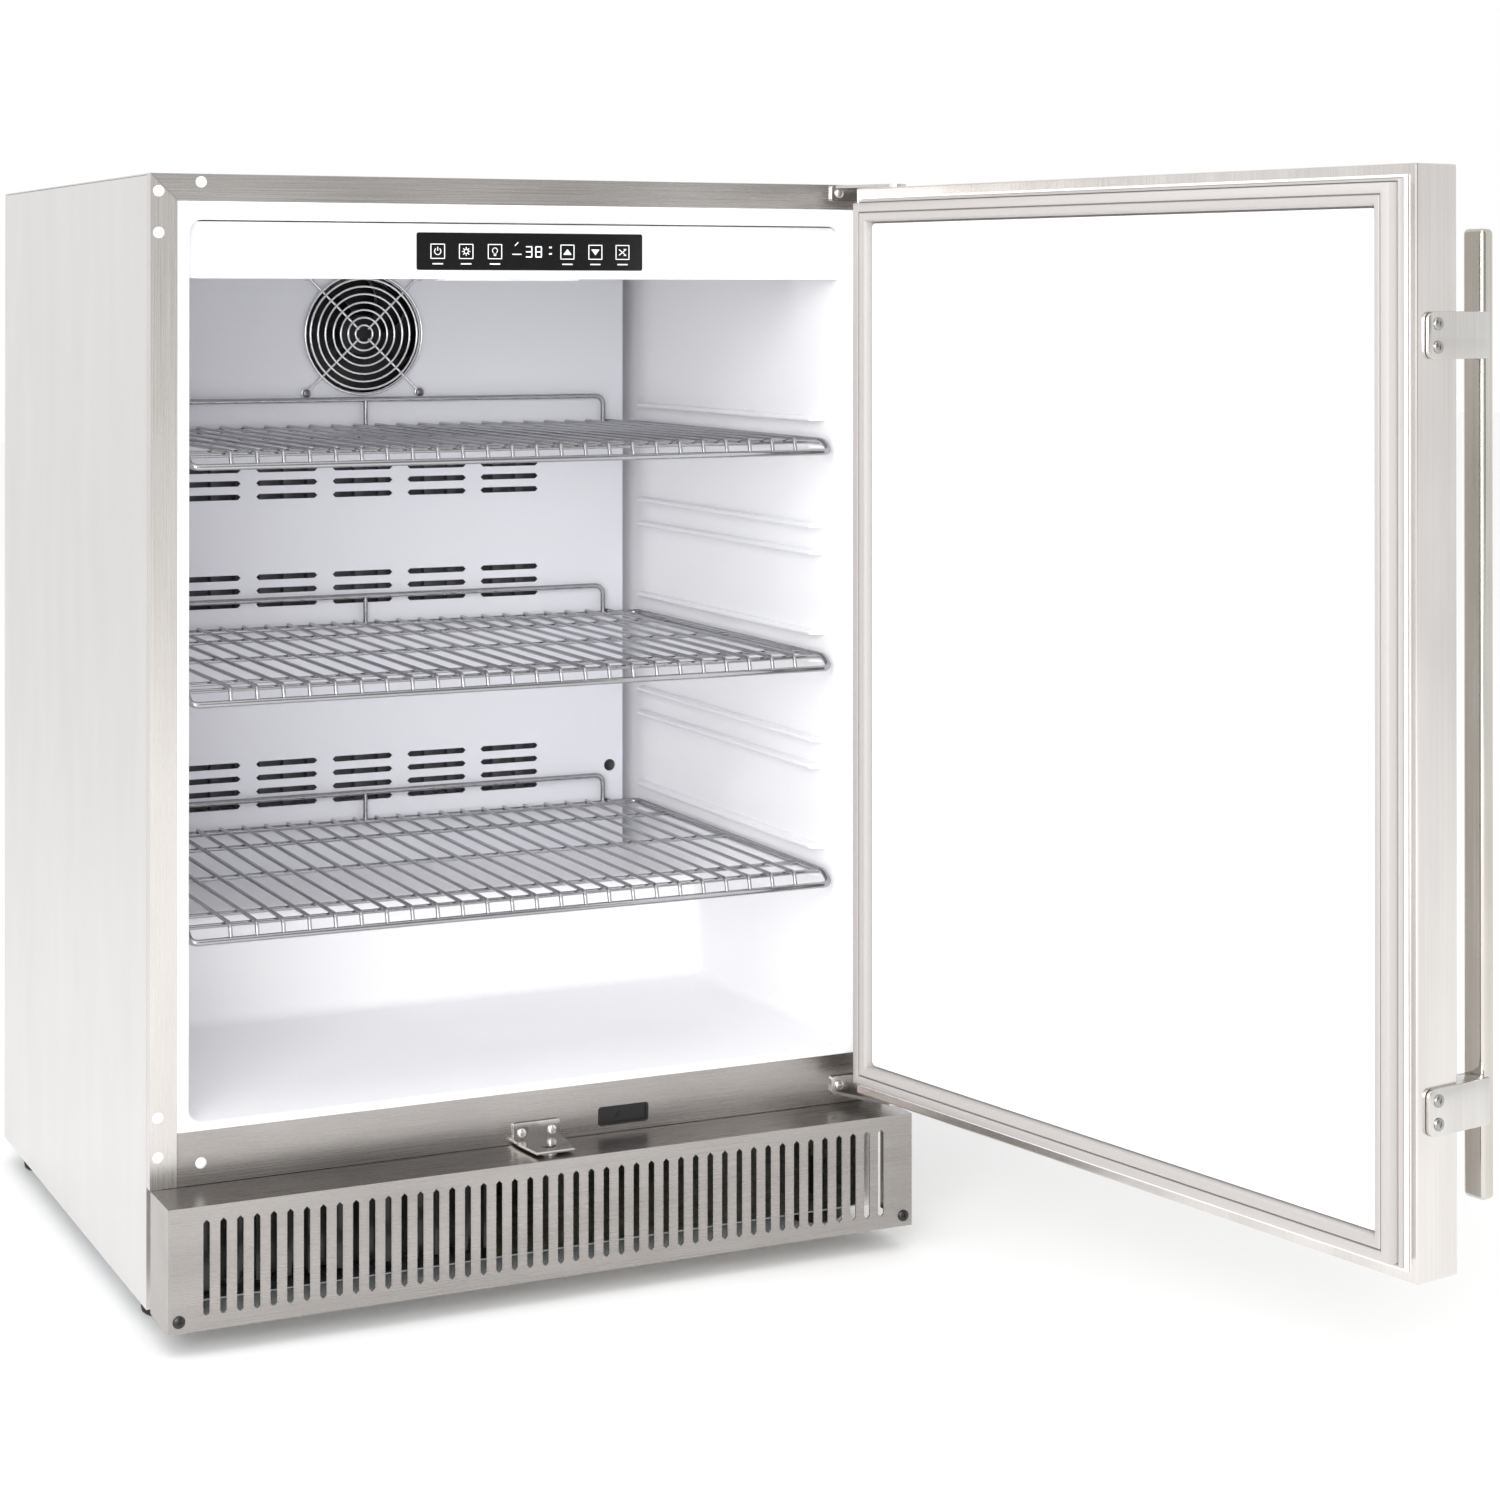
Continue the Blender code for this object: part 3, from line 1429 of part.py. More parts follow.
def make_base_pan():
    """The pan that carries the compressor: a sheet with its sides turned up."""
    inside = HALF_WIDTH - STEEL - GAP
    path = [
        (-inside, BODY_BOTTOM + 0.014),
        (-inside, BODY_BOTTOM + GAP),
        (inside, BODY_BOTTOM + GAP),
        (inside, BODY_BOTTOM + 0.014),
    ]
    front = FRAME_RETURN + GAP + STEEL + GAP
    back = CABINET_DEPTH - 2 * STEEL - 3 * GAP
    pan = prism("base_pan", "galvanised", offset_path(path, STEEL), "y", front, back)
    for across, depth in foot_places().values():
        hole = prism(
            "stud_hole", None, circle(across, depth, STUD_RADIUS + GAP, 16), "z", 0.0, BODY_BOTTOM + 0.02
        )
        cut(pan, hole)
    return pan


def make_compressor():
    """A hermetic compressor: drawn steel dome on a footed plate, with its pipe stubs."""
    across = 0.100
    depth = CABINET_DEPTH - 0.107
    base = MACHINE_FLOOR + GAP
    radius = COMPRESSOR_RADIUS
    height = COMPRESSOR_HEIGHT
    profile = [(0.0, height)]
    for step in range(1, 6):
        angle = math.radians(90 - step * 18)
        profile.append((radius * math.cos(angle), height - 0.045 + 0.045 * math.sin(angle)))
    profile += [
        (radius, height * 0.52),
        (radius + 0.0030, height * 0.51),
        (radius + 0.0030, height * 0.48),
        (radius, height * 0.47),
        (radius, 0.030),
        (radius - 0.006, 0.016),
        (radius - 0.020, 0.008),
        (0.0, 0.008),
    ]
    dome = turned("compressor", "black_paint", profile, (across, depth, base), steps=20)
    plate = prism(
        "compressor_plate",
        None,
        rounded(across - 0.075, depth - 0.055, across + 0.075, depth + 0.055, 0.010),
        "z",
        base + 0.006,
        base + 0.0095,
        [circle(across + x, depth + y, 0.006, 12) for x in (-0.062, 0.062) for y in (-0.042, 0.042)],
    )
    weld(dome, plate)
    for index, rise in enumerate((0.060, 0.095)):
        start = (across - radius + 0.006, depth - 0.012 + index * 0.024, base + rise)
        end = (across - radius - 0.024, depth - 0.012 + index * 0.024, base + rise)
        weld(dome, wires("pipe_stub", None, [([start, end], False)], 0.0040))
    return dome


def main():
    """Build every piece, hang the moving ones on their joints and stand the whole on the floor."""
    root_place = Vector((0.0, 0.0, 0.0))
    root = joint("refrigerator_root", root_place)

    cabinet = make_outer_cabinet()
    cabinet += make_front_frame()
    cabinet += make_liner()
    cabinet.append(make_insulation())
    cabinet.append(make_door_sensor())
    cabinet.append(make_evaporator_cover())
    cabinet.append(make_fan_guard())
    cabinet += make_fascia()
    cabinet.append(make_strike())
    cabinet.append(make_hinge("hinge_bracket_top", True))
    cabinet.append(make_hinge("hinge_bracket_bottom", False))
    cabinet.append(make_kick_grille())
    cabinet.append(make_kick_screw("kick_screw_left", -1))
    cabinet.append(make_kick_screw("kick_screw_right", 1))
    cabinet.append(make_base_pan())
    cabinet.append(make_compressor())
    cabinet.append(
        finned_coil(
            "evaporator_coil",
            "aluminium",
            (-COVER_HALF + 0.050, COVER_FRONT + 0.012, COVER_BOTTOM + 0.060),
            (COVER_HALF - 0.050, COVER_FRONT + 0.040, FAN_HEIGHT - 0.080),
            0.022,
            0.004,
        )
    )
    cabinet.append(
        finned_coil(
            "condenser_coil",
            "aluminium",
            (-HALF_WIDTH + 0.040, 0.025, MACHINE_FLOOR + 0.004),
            (-0.020, 0.065, FOAM_BOTTOM - 0.006),
            0.020,
            0.003,
        )
    )
    cold_frame, cold_rotor, cold_place = axial_fan(
        "evaporator",
        (0.0, COVER_FRONT + STEEL + GAP, FAN_HEIGHT),
        FAN_SIZE,
        FAN_DEPTH,
        FAN_OPENING_RADIUS,
        7,
    )
    warm_frame, warm_rotor, warm_place = axial_fan(
        "condenser",
        (-HALF_WIDTH * 0.5, 0.080, (MACHINE_FLOOR + FOAM_BOTTOM) / 2),
        MACHINE_FAN_SIZE,
        0.025,
        MACHINE_FAN_SIZE * 0.455,
        5,
    )
    cabinet += [cold_frame, warm_frame]
    carry(root, root_place, *cabinet)

    for name, rotor, place in (
        ("evaporator_fan_spin", cold_rotor, cold_place),
        ("condenser_fan_spin", warm_rotor, warm_place),
    ):
        carry(joint(name, place, root), place, rotor)

    for name, level in (
        ("shelf_bottom", LEVELS[0]),
        ("shelf_middle", LEVELS[2]),
        ("shelf_top", LEVELS[4]),
    ):
        place = (0.0, SHELF_FRONT, level)
        carry(joint(f"{name}_slide", place, root), place, make_shelf(name, level))

    for name, (across, depth) in foot_places().items():
        place = (across, depth, 0.0)
        carry(joint(f"{name}_thread", place, root), place, make_foot(name, (across, depth)))

    hinge_place = (HINGE_X, HINGE_Y, DOOR_BOTTOM)
    hinge = joint("door_hinge", hinge_place, root)
    carry(hinge, hinge_place, *make_door(), *make_handle())
    barrel, bolt, barrel_place, bolt_place = make_lock()
    for name, piece, place in (
        ("lock_turn", barrel, barrel_place),
        ("lock_bolt_slide", bolt, bolt_place),
    ):
        pivot = joint(name, place)
        pivot.parent = hinge
        pivot.location = Vector(place) - Vector(hinge_place)
        carry(pivot, place, piece)
    hinge.rotation_euler = (0.0, 0.0, DOOR_OPEN_ANGLE)

    centre_on_floor(root)


def centre_on_floor(root):
    """Stand the object on the floor with its overall footprint centred on the origin."""
    bpy.context.view_layer.update()
    graph = bpy.context.evaluated_depsgraph_get()
    low = [math.inf] * 3
    high = [-math.inf] * 3
    for body in PARTS.objects:
        if body.type != "MESH":
            continue
        solid = body.evaluated_get(graph)
        mesh = solid.to_mesh()
        for vertex in mesh.vertices:
            point = solid.matrix_world @ vertex.co
            low = [min(a, b) for a, b in zip(low, point)]
            high = [max(a, b) for a, b in zip(high, point)]
        solid.to_mesh_clear()
    root.location = (-(low[0] + high[0]) / 2, -(low[1] + high[1]) / 2, -low[2])
    bpy.context.view_layer.update()


main()
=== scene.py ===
"""Looks for the undercounter refrigerator: finishes for its CAD nodes and the fine pieces they lack."""

from __future__ import annotations

import json
import logging
import math
from abc import ABC, abstractmethod
from dataclasses import dataclass
from enum import Enum

import bmesh
import bpy
from mathutils import Matrix, Vector


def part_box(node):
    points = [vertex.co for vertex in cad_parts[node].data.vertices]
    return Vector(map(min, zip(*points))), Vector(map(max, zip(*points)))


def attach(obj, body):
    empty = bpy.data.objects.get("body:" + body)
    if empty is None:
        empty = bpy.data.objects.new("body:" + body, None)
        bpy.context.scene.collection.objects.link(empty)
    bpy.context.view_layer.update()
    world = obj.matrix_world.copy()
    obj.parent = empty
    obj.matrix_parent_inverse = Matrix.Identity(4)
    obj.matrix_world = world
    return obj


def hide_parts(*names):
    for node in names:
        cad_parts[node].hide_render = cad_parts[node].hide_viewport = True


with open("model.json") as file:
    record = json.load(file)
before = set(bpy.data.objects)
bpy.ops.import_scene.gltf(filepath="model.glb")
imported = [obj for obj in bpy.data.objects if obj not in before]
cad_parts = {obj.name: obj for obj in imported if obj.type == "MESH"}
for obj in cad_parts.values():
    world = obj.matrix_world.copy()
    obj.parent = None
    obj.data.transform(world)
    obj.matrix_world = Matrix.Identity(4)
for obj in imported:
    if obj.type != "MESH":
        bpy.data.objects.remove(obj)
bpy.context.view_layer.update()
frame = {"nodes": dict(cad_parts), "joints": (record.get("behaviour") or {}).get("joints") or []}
NODES = frame["nodes"]
MM = 0.001
TOUCH = 1e-6
FORWARD = Vector((0, -1, 0))
log = logging.getLogger("refrigerator")


class Grain(Enum):
    """The way the lines of a brushed sheet run, as the axis they follow."""

    ALONG_X = (1.0, 0.0, 0.0)
    ALONG_Y = (0.0, 1.0, 0.0)
    ALONG_Z = (0.0, 0.0, 1.0)


# ---------------------------------------------------------------- node and colour helpers
def linear(hex_colour: str) -> tuple[float, float, float, float]:
    """Turn an sRGB hex colour to the linear values that a shader takes.

    Args:
        hex_colour: Six hex digits after a hash.

    Returns:
        Linear red, green and blue, and an alpha of one.
    """
    parts = [int(hex_colour[i : i + 2], 16) / 255 for i in (1, 3, 5)]
    levels = [p / 12.92 if p <= 0.04045 else ((p + 0.055) / 1.055) ** 2.4 for p in parts]
    return (levels[0], levels[1], levels[2], 1.0)


def add_node(
    tree: bpy.types.NodeTree,
    kind: str,
    settings: dict[str, object] | None = None,
    inputs: dict[str | int, object] | None = None,
) -> bpy.types.Node:
    """Add a node with its settings, and give each input a value or a link.

    Args:
        tree: The node tree to add to.
        kind: The node's type name.
        settings: Attribute names and the values they get.
        inputs: Input names or numbers, each with a value or the socket that feeds it.

    Returns:
        The new node.
    """
    node = tree.nodes.new(kind)
    for name, value in (settings or {}).items():
        setattr(node, name, value)
    for key, value in (inputs or {}).items():
        if isinstance(value, bpy.types.NodeSocket):
            tree.links.new(value, node.inputs[key])
        else:
            node.inputs[key].default_value = value
    return node


# ---------------------------------------------------------------- finishes
@dataclass(frozen=True)
class Finish(ABC):
    """A surface finish. The same finish is built once and shared."""

    name: str

    def material(self) -> bpy.types.Material:
        """Build the finish, or hand back the one already built.

        Returns:
            The material with its nodes in place.
        """
        known = bpy.data.materials.get(self.name)
        if known is not None:
            return known
        made = bpy.data.materials.new(self.name)
        made.use_nodes = True
        tree = made.node_tree
        shader = next(n for n in tree.nodes if n.type == "BSDF_PRINCIPLED")
        self.dress(tree, shader)
        return made

    @abstractmethod
    def dress(self, tree: bpy.types.NodeTree, shader: bpy.types.Node) -> None:
        """Set the shader's values and add the finish's own nodes.

        Args:
            tree: The material's node tree.
            shader: Its shader.
        """

    @staticmethod
    def pattern(
        tree: bpy.types.NodeTree,
        kind: str,
        scale: tuple[float, float, float],
        settings: dict[str, object] | None = None,
        inputs: dict[str | int, object] | None = None,
    ) -> bpy.types.Node:
        """Add a texture on Object coordinates.

        Args:
            tree: The node tree to add to.
            kind: The texture's type name.
            scale: How much each axis is multiplied by.
            settings: The texture's settings.
            inputs: Its other inputs.

        Returns:
            The texture node.
        """
        spot = add_node(tree, "ShaderNodeTexCoord").outputs["Object"]
        spot = add_node(tree, "ShaderNodeMapping", {}, {"Vector": spot, "Scale": scale}).outputs["Vector"]
        return add_node(tree, kind, settings, {"Vector": spot, "Scale": 1.0, **(inputs or {})})

    @staticmethod
    def tint(
        tree: bpy.types.NodeTree, shader: bpy.types.Node, share: bpy.types.NodeSocket, dark: str, light: str
    ) -> None:
        """Let a pattern blend the base colour between two tones.

        Args:
            tree: The node tree to add to.
            shader: The shader that takes the colour.
            share: The pattern, from 0 for dark to 1 for light.
            dark: The first tone, as a hex colour.
            light: The second tone.
        """
        tones = {"Factor": share, "A": linear(dark), "B": linear(light)}
        tone = add_node(tree, "ShaderNodeMix", {"data_type": "RGBA"}, tones)
        tree.links.new(next(o for o in tone.outputs if o.type == "RGBA"), shader.inputs["Base Color"])

    @staticmethod
    def wear(
        tree: bpy.types.NodeTree,
        shader: bpy.types.Node,
        pattern: bpy.types.NodeSocket,
        gloss: tuple[float, float],
        window: tuple[float, float] = (0.0, 1.0),
        relief: tuple[float, float] | None = None,
    ) -> None:
        """Let a pattern change the roughness, and raise it as relief.

        Args:
            tree: The node tree to add to.
            shader: The shader that takes both.
            pattern: The pattern's level.
            gloss: The roughness at the window's two ends.
            window: The part of the pattern's range that counts.
            relief: The bump's strength and its height in metres, where it has one.
        """
        ends = {"From Min": window[0], "From Max": window[1], "To Min": gloss[0], "To Max": gloss[1]}
        rough = add_node(tree, "ShaderNodeMapRange", {}, {"Value": pattern, **ends})
        tree.links.new(rough.outputs["Result"], shader.inputs["Roughness"])
        if relief is None:
            return
        heights = {"Height": pattern, "Strength": relief[0], "Distance": relief[1]}
        bump = add_node(tree, "ShaderNodeBump", {}, heights)
        tree.links.new(bump.outputs["Normal"], shader.inputs["Normal"])


@dataclass(frozen=True)
class BrushedStainless(Finish):
    """Stainless sheet, belt-brushed: long fine scratches smear reflections across the grain."""

    colour: str
    shade: str
    roughness: float
    grain: Grain
    line_mm: float = 0.9
    run_mm: float = 90.0
    depth: float = 0.10
    cloud_mm: float = 45.4545
    cloud_run_mm: float = 166.6667

    def dress(self, tree: bpy.types.NodeTree, shader: bpy.types.Node) -> None:
        """Streaks that follow the grain vary the roughness, the tone and the bump.

        Args:
            tree: The material's node tree.
            shader: Its shader.
        """
        shader.inputs["Metallic"].default_value = 1.0
        along = self.grain.value
        noise = "ShaderNodeTexNoise"
        # A real belt line is about 0.1 mm wide; it is drawn coarser, so that it shows.
        stretch = tuple(1000.0 / (self.run_mm if part else self.line_mm) for part in along)
        streak = self.pattern(tree, noise, stretch, {}, {"Detail": 3.0, "Roughness": 0.6})
        # Sheet leaves the mill a little uneven, so wide soft clouds shift its tone.
        broad = tuple(1000.0 / (self.cloud_run_mm if part else self.cloud_mm) for part in along)
        cloud = self.pattern(tree, noise, broad, {}, {"Detail": 2.0, "Roughness": 0.5})
        level: bpy.types.NodeSocket | float = 0.0
        for part, share in ((streak, 0.45), (cloud, 0.55)):
            adding = {"operation": "MULTIPLY_ADD", "use_clamp": True}
            terms = {0: part.outputs["Fac"], 1: share, 2: level}
            level = add_node(tree, "ShaderNodeMath", adding, terms).outputs[0]
        middle = {"Value": level, "From Min": 0.30, "From Max": 0.70}
        spread = add_node(tree, "ShaderNodeMapRange", {}, middle)
        self.tint(tree, shader, spread.outputs["Result"], self.shade, self.colour)
        gloss = (self.roughness * 0.80, self.roughness * 1.20)
        self.wear(tree, shader, streak.outputs["Fac"], gloss, (0.25, 0.75), (self.depth, 0.2 * MM))


@dataclass(frozen=True)
class PlatedSteel(Finish):
    """Bright zinc or nickel plate on wire and screws: smooth, with faint cloudiness."""

    colour: str
    roughness: float
    cloud_mm: float = 4.0

    def dress(self, tree: bpy.types.NodeTree, shader: bpy.types.Node) -> None:
        """A cloud about 4 mm across dulls the plate here and there.

        Args:
            tree: The material's node tree.
            shader: Its shader.
        """
        shader.inputs["Metallic"].default_value = 1.0
        shader.inputs["Base Color"].default_value = linear(self.colour)
        cloud = self.pattern(tree, "ShaderNodeTexNoise", (1000.0 / self.cloud_mm,) * 3, {}, {"Detail": 2.0})
        self.wear(tree, shader, cloud.outputs["Fac"], (self.roughness * 0.7, self.roughness * 1.4))


@dataclass(frozen=True)
class Moulded(Finish):
    """Moulded or formed plastic and rubber: an even colour with a fine skin of a known grit."""

    colour: str
    roughness: float
    grit_mm: float = 1.6
    depth: float = 0.08
    coat: float = 0.0
    ior: float = 1.5

    def dress(self, tree: bpy.types.NodeTree, shader: bpy.types.Node) -> None:
        """The mould's skin shows as a low bump and a slight change of gloss.

        Args:
            tree: The material's node tree.
            shader: Its shader.
        """
        shader.inputs["Base Color"].default_value = linear(self.colour)
        shader.inputs["IOR"].default_value = self.ior
        shader.inputs["Coat Weight"].default_value = self.coat
        shader.inputs["Coat Roughness"].default_value = 0.05
        grit = (1000.0 / self.grit_mm,) * 3
        skin = self.pattern(tree, "ShaderNodeTexNoise", grit, {}, {"Detail": 2.0})
        gloss = (self.roughness * 0.85, min(1.0, self.roughness * 1.15))
        self.wear(tree, shader, skin.outputs["Fac"], gloss, relief=(self.depth, 0.3 * MM))


@dataclass(frozen=True)
class Galvanised(Finish):
    """Hot-dip zinc on thin sheet: flat crystals about 9 mm across, each with its own tone."""

    light: str = "#C6CACC"
    dark: str = "#989EA2"
    crystal_mm: float = 9.0

    def dress(self, tree: bpy.types.NodeTree, shader: bpy.types.Node) -> None:
        """Each crystal of the spangle takes a tone between the two colours.

        Args:
            tree: The material's node tree.
            shader: Its shader.
        """
        shader.inputs["Metallic"].default_value = 1.0
        size = (1000.0 / self.crystal_mm,) * 3
        crystals = self.pattern(tree, "ShaderNodeTexVoronoi", size, {"feature": "F1"})
        self.tint(tree, shader, crystals.outputs["Color"], self.dark, self.light)
        self.wear(tree, shader, crystals.outputs["Color"], (0.32, 0.52))


@dataclass(frozen=True)
class Foam(Finish):
    """Blown polyurethane: open cells, fully matt."""

    light: str = "#E6D7A2"
    dark: str = "#CDBB80"
    cell_mm: float = 2.0

    def dress(self, tree: bpy.types.NodeTree, shader: bpy.types.Node) -> None:
        """Cells about 2 mm across give the foam its pits.

        Args:
            tree: The material's node tree.
            shader: Its shader.
        """
        shader.inputs["Roughness"].default_value = 0.95
        size = (1000.0 / self.cell_mm,) * 3
        cells = self.pattern(tree, "ShaderNodeTexVoronoi", size, {"feature": "SMOOTH_F1"})
        self.tint(tree, shader, cells.outputs["Distance"], self.dark, self.light)


@dataclass(frozen=True)
class Glowing(Finish):
    """A mark behind clear acrylic that gives off light: the lit figures glow as display segments do, while
    the print's glow is painted light.
    """

    colour: str
    strength: float

    def dress(self, tree: bpy.types.NodeTree, shader: bpy.types.Node) -> None:
        """The mark gives off a little light of its own colour.

        Args:
            tree: The material's node tree.
            shader: Its shader.
        """
        shader.inputs["Base Color"].default_value = linear(self.colour)
        shader.inputs["Roughness"].default_value = 0.4
        shader.inputs["Emission Color"].default_value = linear(self.colour)
        shader.inputs["Emission Strength"].default_value = self.strength


STEEL_UP = BrushedStainless(
    "stainless_frame_upright", "#D8D4D1", "#C6C2BE", 0.27, Grain.ALONG_Z, 0.5, 200.0, 0.05
)
STEEL_ACROSS = BrushedStainless(
    "stainless_frame_across", "#D2CECB", "#B4B0AC", 0.27, Grain.ALONG_X, 0.5, 160.0, 0.06
)
# The door skin's tone is set lighter than the frame's steel, a lit copy of the same stainless: it paints in
# the brighter light that its free edge catches.
STEEL_DOOR_LIT_COPY = BrushedStainless(
    "stainless_door_skin_lit_copy", "#E3DFDC", "#C9C5C2", 0.20, Grain.ALONG_Z, 0.6, 260.0, 0.03
)
STEEL_DEPTH = BrushedStainless(
    "stainless_top_panel", "#D2CFCC", "#C2BFBC", 0.32, Grain.ALONG_Y, 0.5, 220.0, 0.04
)
STEEL_SIDE = BrushedStainless(
    "stainless_cabinet_side", "#DEDCDB", "#D5D3D2", 0.34, Grain.ALONG_Z, 0.5, 320.0, 0.03
)
STEEL_GRILLE = BrushedStainless(
    "stainless_grille", "#B2AEAB", "#989491", 0.28, Grain.ALONG_X, 0.5, 120.0, 0.07
)
STEEL_HANDLE = BrushedStainless(
    "stainless_handle_bar", "#D5D2CC", "#B5B1A8", 0.14, Grain.ALONG_Z, 0.7, 260.0, 0.02
)
STEEL_BRIGHT = BrushedStainless(
    "stainless_bright_bracket", "#D9D7D5", "#BEBBB8", 0.16, Grain.ALONG_Z, 0.7, 60.0, 0.03
)
WIRE = PlatedSteel("nickel_plated_shelf_wire", "#A9A9AB", 0.17)
GUARD_WIRE = PlatedSteel("bright_plated_guard_wire", "#E2E2E3", 0.18)
SCREW = PlatedSteel("zinc_plated_screw", "#C9C8C5", 0.24)
DULL_SCREW = PlatedSteel("dull_plated_screw", "#7B7B7E", 0.34)
HANDLE_SCREW = PlatedSteel("handle_strap_screw", "#A3A2A0", 0.22)
BLACK_SCREW = Moulded("black_coated_screw", "#0D0D0E", 0.35, 0.8, 0.05, 0.3)
LINER_WHITE = Moulded("formed_white_liner", "#F6F6F8", 0.33, 1.8, 0.05, 0.15)
FASCIA_WHITE = Moulded("moulded_white_fascia", "#E4E5E6", 0.30, 1.4, 0.05, 0.1)
DUCT_WHITE = Moulded("powder_coated_duct_cover", "#E2E2E8", 0.42, 1.2, 0.10)
GASKET = Moulded("extruded_grey_gasket", "#B1ADAB", 0.55, 0.9, 0.06)
PLUG_WHITE = Moulded("moulded_white_plug", "#EEEFEF", 0.32, 1.0, 0.04)
BLACK_PLASTIC = Moulded("moulded_black_plastic", "#141416", 0.42, 1.0, 0.10)
FAN_PLASTIC = Moulded("moulded_fan_plastic", "#08080A", 0.55, 1.0, 0.10)
FOOT_RUBBER = Moulded("moulded_foot_rubber", "#1A1A1A", 0.70, 0.8, 0.20)
BLACK_ACRYLIC = Moulded("polished_black_acrylic", "#050506", 0.16, 6.0, 0.01, 0.0, 1.49)
ENAMEL = Moulded("black_stove_enamel", "#0C0C0C", 0.30, 2.2, 0.06, 0.5)
LENS = Moulded("frosted_lamp_lens", "#F4F6F7", 0.38, 1.2, 0.05, 0.0, 1.58)
COATED_FIN = Moulded("grey_epoxy_coated_fins", "#5C5D62", 0.45, 2.0, 0.06)
ZINC_SHEET = Galvanised("galvanised_sheet")
FOAM = Foam("blown_foam")
# The print is ink, not a lamp: its emission is a painted glow that makes it read brighter on the black
# acrylic.
PRINT_PAINTED_GLOW = Glowing("white_panel_print_painted_glow", "#F0F1F2", 0.15)
DIGIT = Glowing("lit_panel_digit", "#E9EEF2", 0.5)

# ---------------------------------------------------------------- which finish each node gets
HINGE_BRACKETS = ("hinge_bracket_top", "hinge_bracket_bottom")
HANDLE_BRACKETS = ("handle_bracket_top", "handle_bracket_bottom")
SHELVES = ("shelf_bottom", "shelf_middle", "shelf_top")
LINER_WALLS = ("liner_left", "liner_right", "liner_top", "liner_back", "liner_floor")
FAN_ROTORS = ("evaporator_fan_rotor", "condenser_fan_rotor")
FEET = ("foot_front_left", "foot_front_right", "foot_rear_left", "foot_rear_right")
KICK_SCREWS = ("kick_screw_left", "kick_screw_right")
PLUGS = (
    "plug_top",
    "plug_bottom",
    *(f"plug_{row}_left_{place}" for row in ("upper", "lower") for place in ("high", "low")),
)
NODE_FINISHES: dict[Finish, tuple[str, ...]] = {
    STEEL_SIDE: ("side_panel_left", "side_panel_right"),
    STEEL_DEPTH: ("top_panel",),
    STEEL_UP: ("frame_left", "frame_right"),
    STEEL_DOOR_LIT_COPY: ("door_skin",),
    STEEL_ACROSS: ("frame_top",),
    STEEL_GRILLE: ("kick_grille", "frame_bottom"),
    STEEL_BRIGHT: ("strike_bracket", *HINGE_BRACKETS, *HANDLE_BRACKETS),
    STEEL_HANDLE: ("handle_bar",),
    WIRE: SHELVES,
    GUARD_WIRE: ("fan_guard", "lock_bolt", "lock_barrel"),
    LINER_WHITE: (*LINER_WALLS, "door_liner"),
    FASCIA_WHITE: ("fascia",),
    DUCT_WHITE: ("evaporator_cover",),
    GASKET: ("door_gasket",),
    BLACK_ACRYLIC: ("control_panel",),
    LENS: ("lamp_lens",),
    BLACK_PLASTIC: ("door_sensor", "cord_gland"),
    FAN_PLASTIC: ("evaporator_fan_frame", "condenser_fan_frame", *FAN_ROTORS),
    FOOT_RUBBER: FEET,
    ZINC_SHEET: ("back_panel", "machine_cover", "base_pan"),
    ENAMEL: ("compressor", "condenser_coil"),
    BLACK_SCREW: KICK_SCREWS,
    COATED_FIN: ("evaporator_coil",),
    FOAM: ("insulation", "door_foam"),
    PLUG_WHITE: PLUGS,
}


def dress_nodes() -> None:
    """Give every CAD node its finish through its material slots."""
    for finish, names in NODE_FINISHES.items():
        for name in names:
            body = NODES[name]
            body.data.materials.clear()
            body.data.materials.append(finish.material())
    log.info("dressed %d CAD nodes", sum(len(names) for names in NODE_FINISHES.values()))


# ---------------------------------------------------------------- shape helpers
def settle(shape: bmesh.types.BMesh, name: str, finish: Finish, smooth: float = 35.0) -> bpy.types.Object:
    """Weld a finished bmesh, face it outwards and put it in the scene.

    Args:
        shape: The bmesh, which is freed.
        name: The piece's name.
        finish: The piece's finish.
        smooth: Edges that turn less than this many degrees are shaded smooth.

    Returns:
        The new object, at the origin.
    """
    bmesh.ops.remove_doubles(shape, verts=shape.verts, dist=TOUCH)
    bmesh.ops.recalc_face_normals(shape, faces=shape.faces)
    mesh = bpy.data.meshes.new(name)
    shape.to_mesh(mesh)
    shape.free()
    mesh.shade_smooth()
    mesh.set_sharp_from_angle(angle=math.radians(smooth))
    mesh.materials.append(finish.material())
    piece = bpy.data.objects.new(name, mesh)
    bpy.context.scene.collection.objects.link(piece)
    return piece


def mount(piece: bpy.types.Object, body: str, slot: str, *replaced: str) -> None:
    """Hang a piece on a CAD body, and hide the CAD nodes it stands for.

    Args:
        piece: The piece.
        body: The body it rides on.
        slot: Not used.
        replaced: The CAD nodes it stands for.
    """
    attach(piece, body)
    if replaced:
        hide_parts(*replaced)
    log.info("%s: %d faces on %s", piece.name, len(piece.data.polygons), body)


def edges_of(verts: list[bmesh.types.BMVert]) -> list[bmesh.types.BMEdge]:
    """Every edge that touches one of the vertices, once each."""
    return list(dict.fromkeys(edge for vertex in verts for edge in vertex.link_edges))


def round_edges(
    shape: bmesh.types.BMesh, edges: list[bmesh.types.BMEdge], radius: float, segments: int
) -> list[bmesh.types.BMVert]:
    """Round edges off.

    Args:
        shape: The bmesh that holds them.
        edges: The edges.
        radius: The edge radius, in metres.
        segments: How many steps the rounding has.

    Returns:
        The vertices of the rounding.
    """
    made = bmesh.ops.bevel(
        shape, geom=edges, offset=radius, segments=segments, profile=0.5, affect="EDGES", material=-1
    )
    return made["verts"]


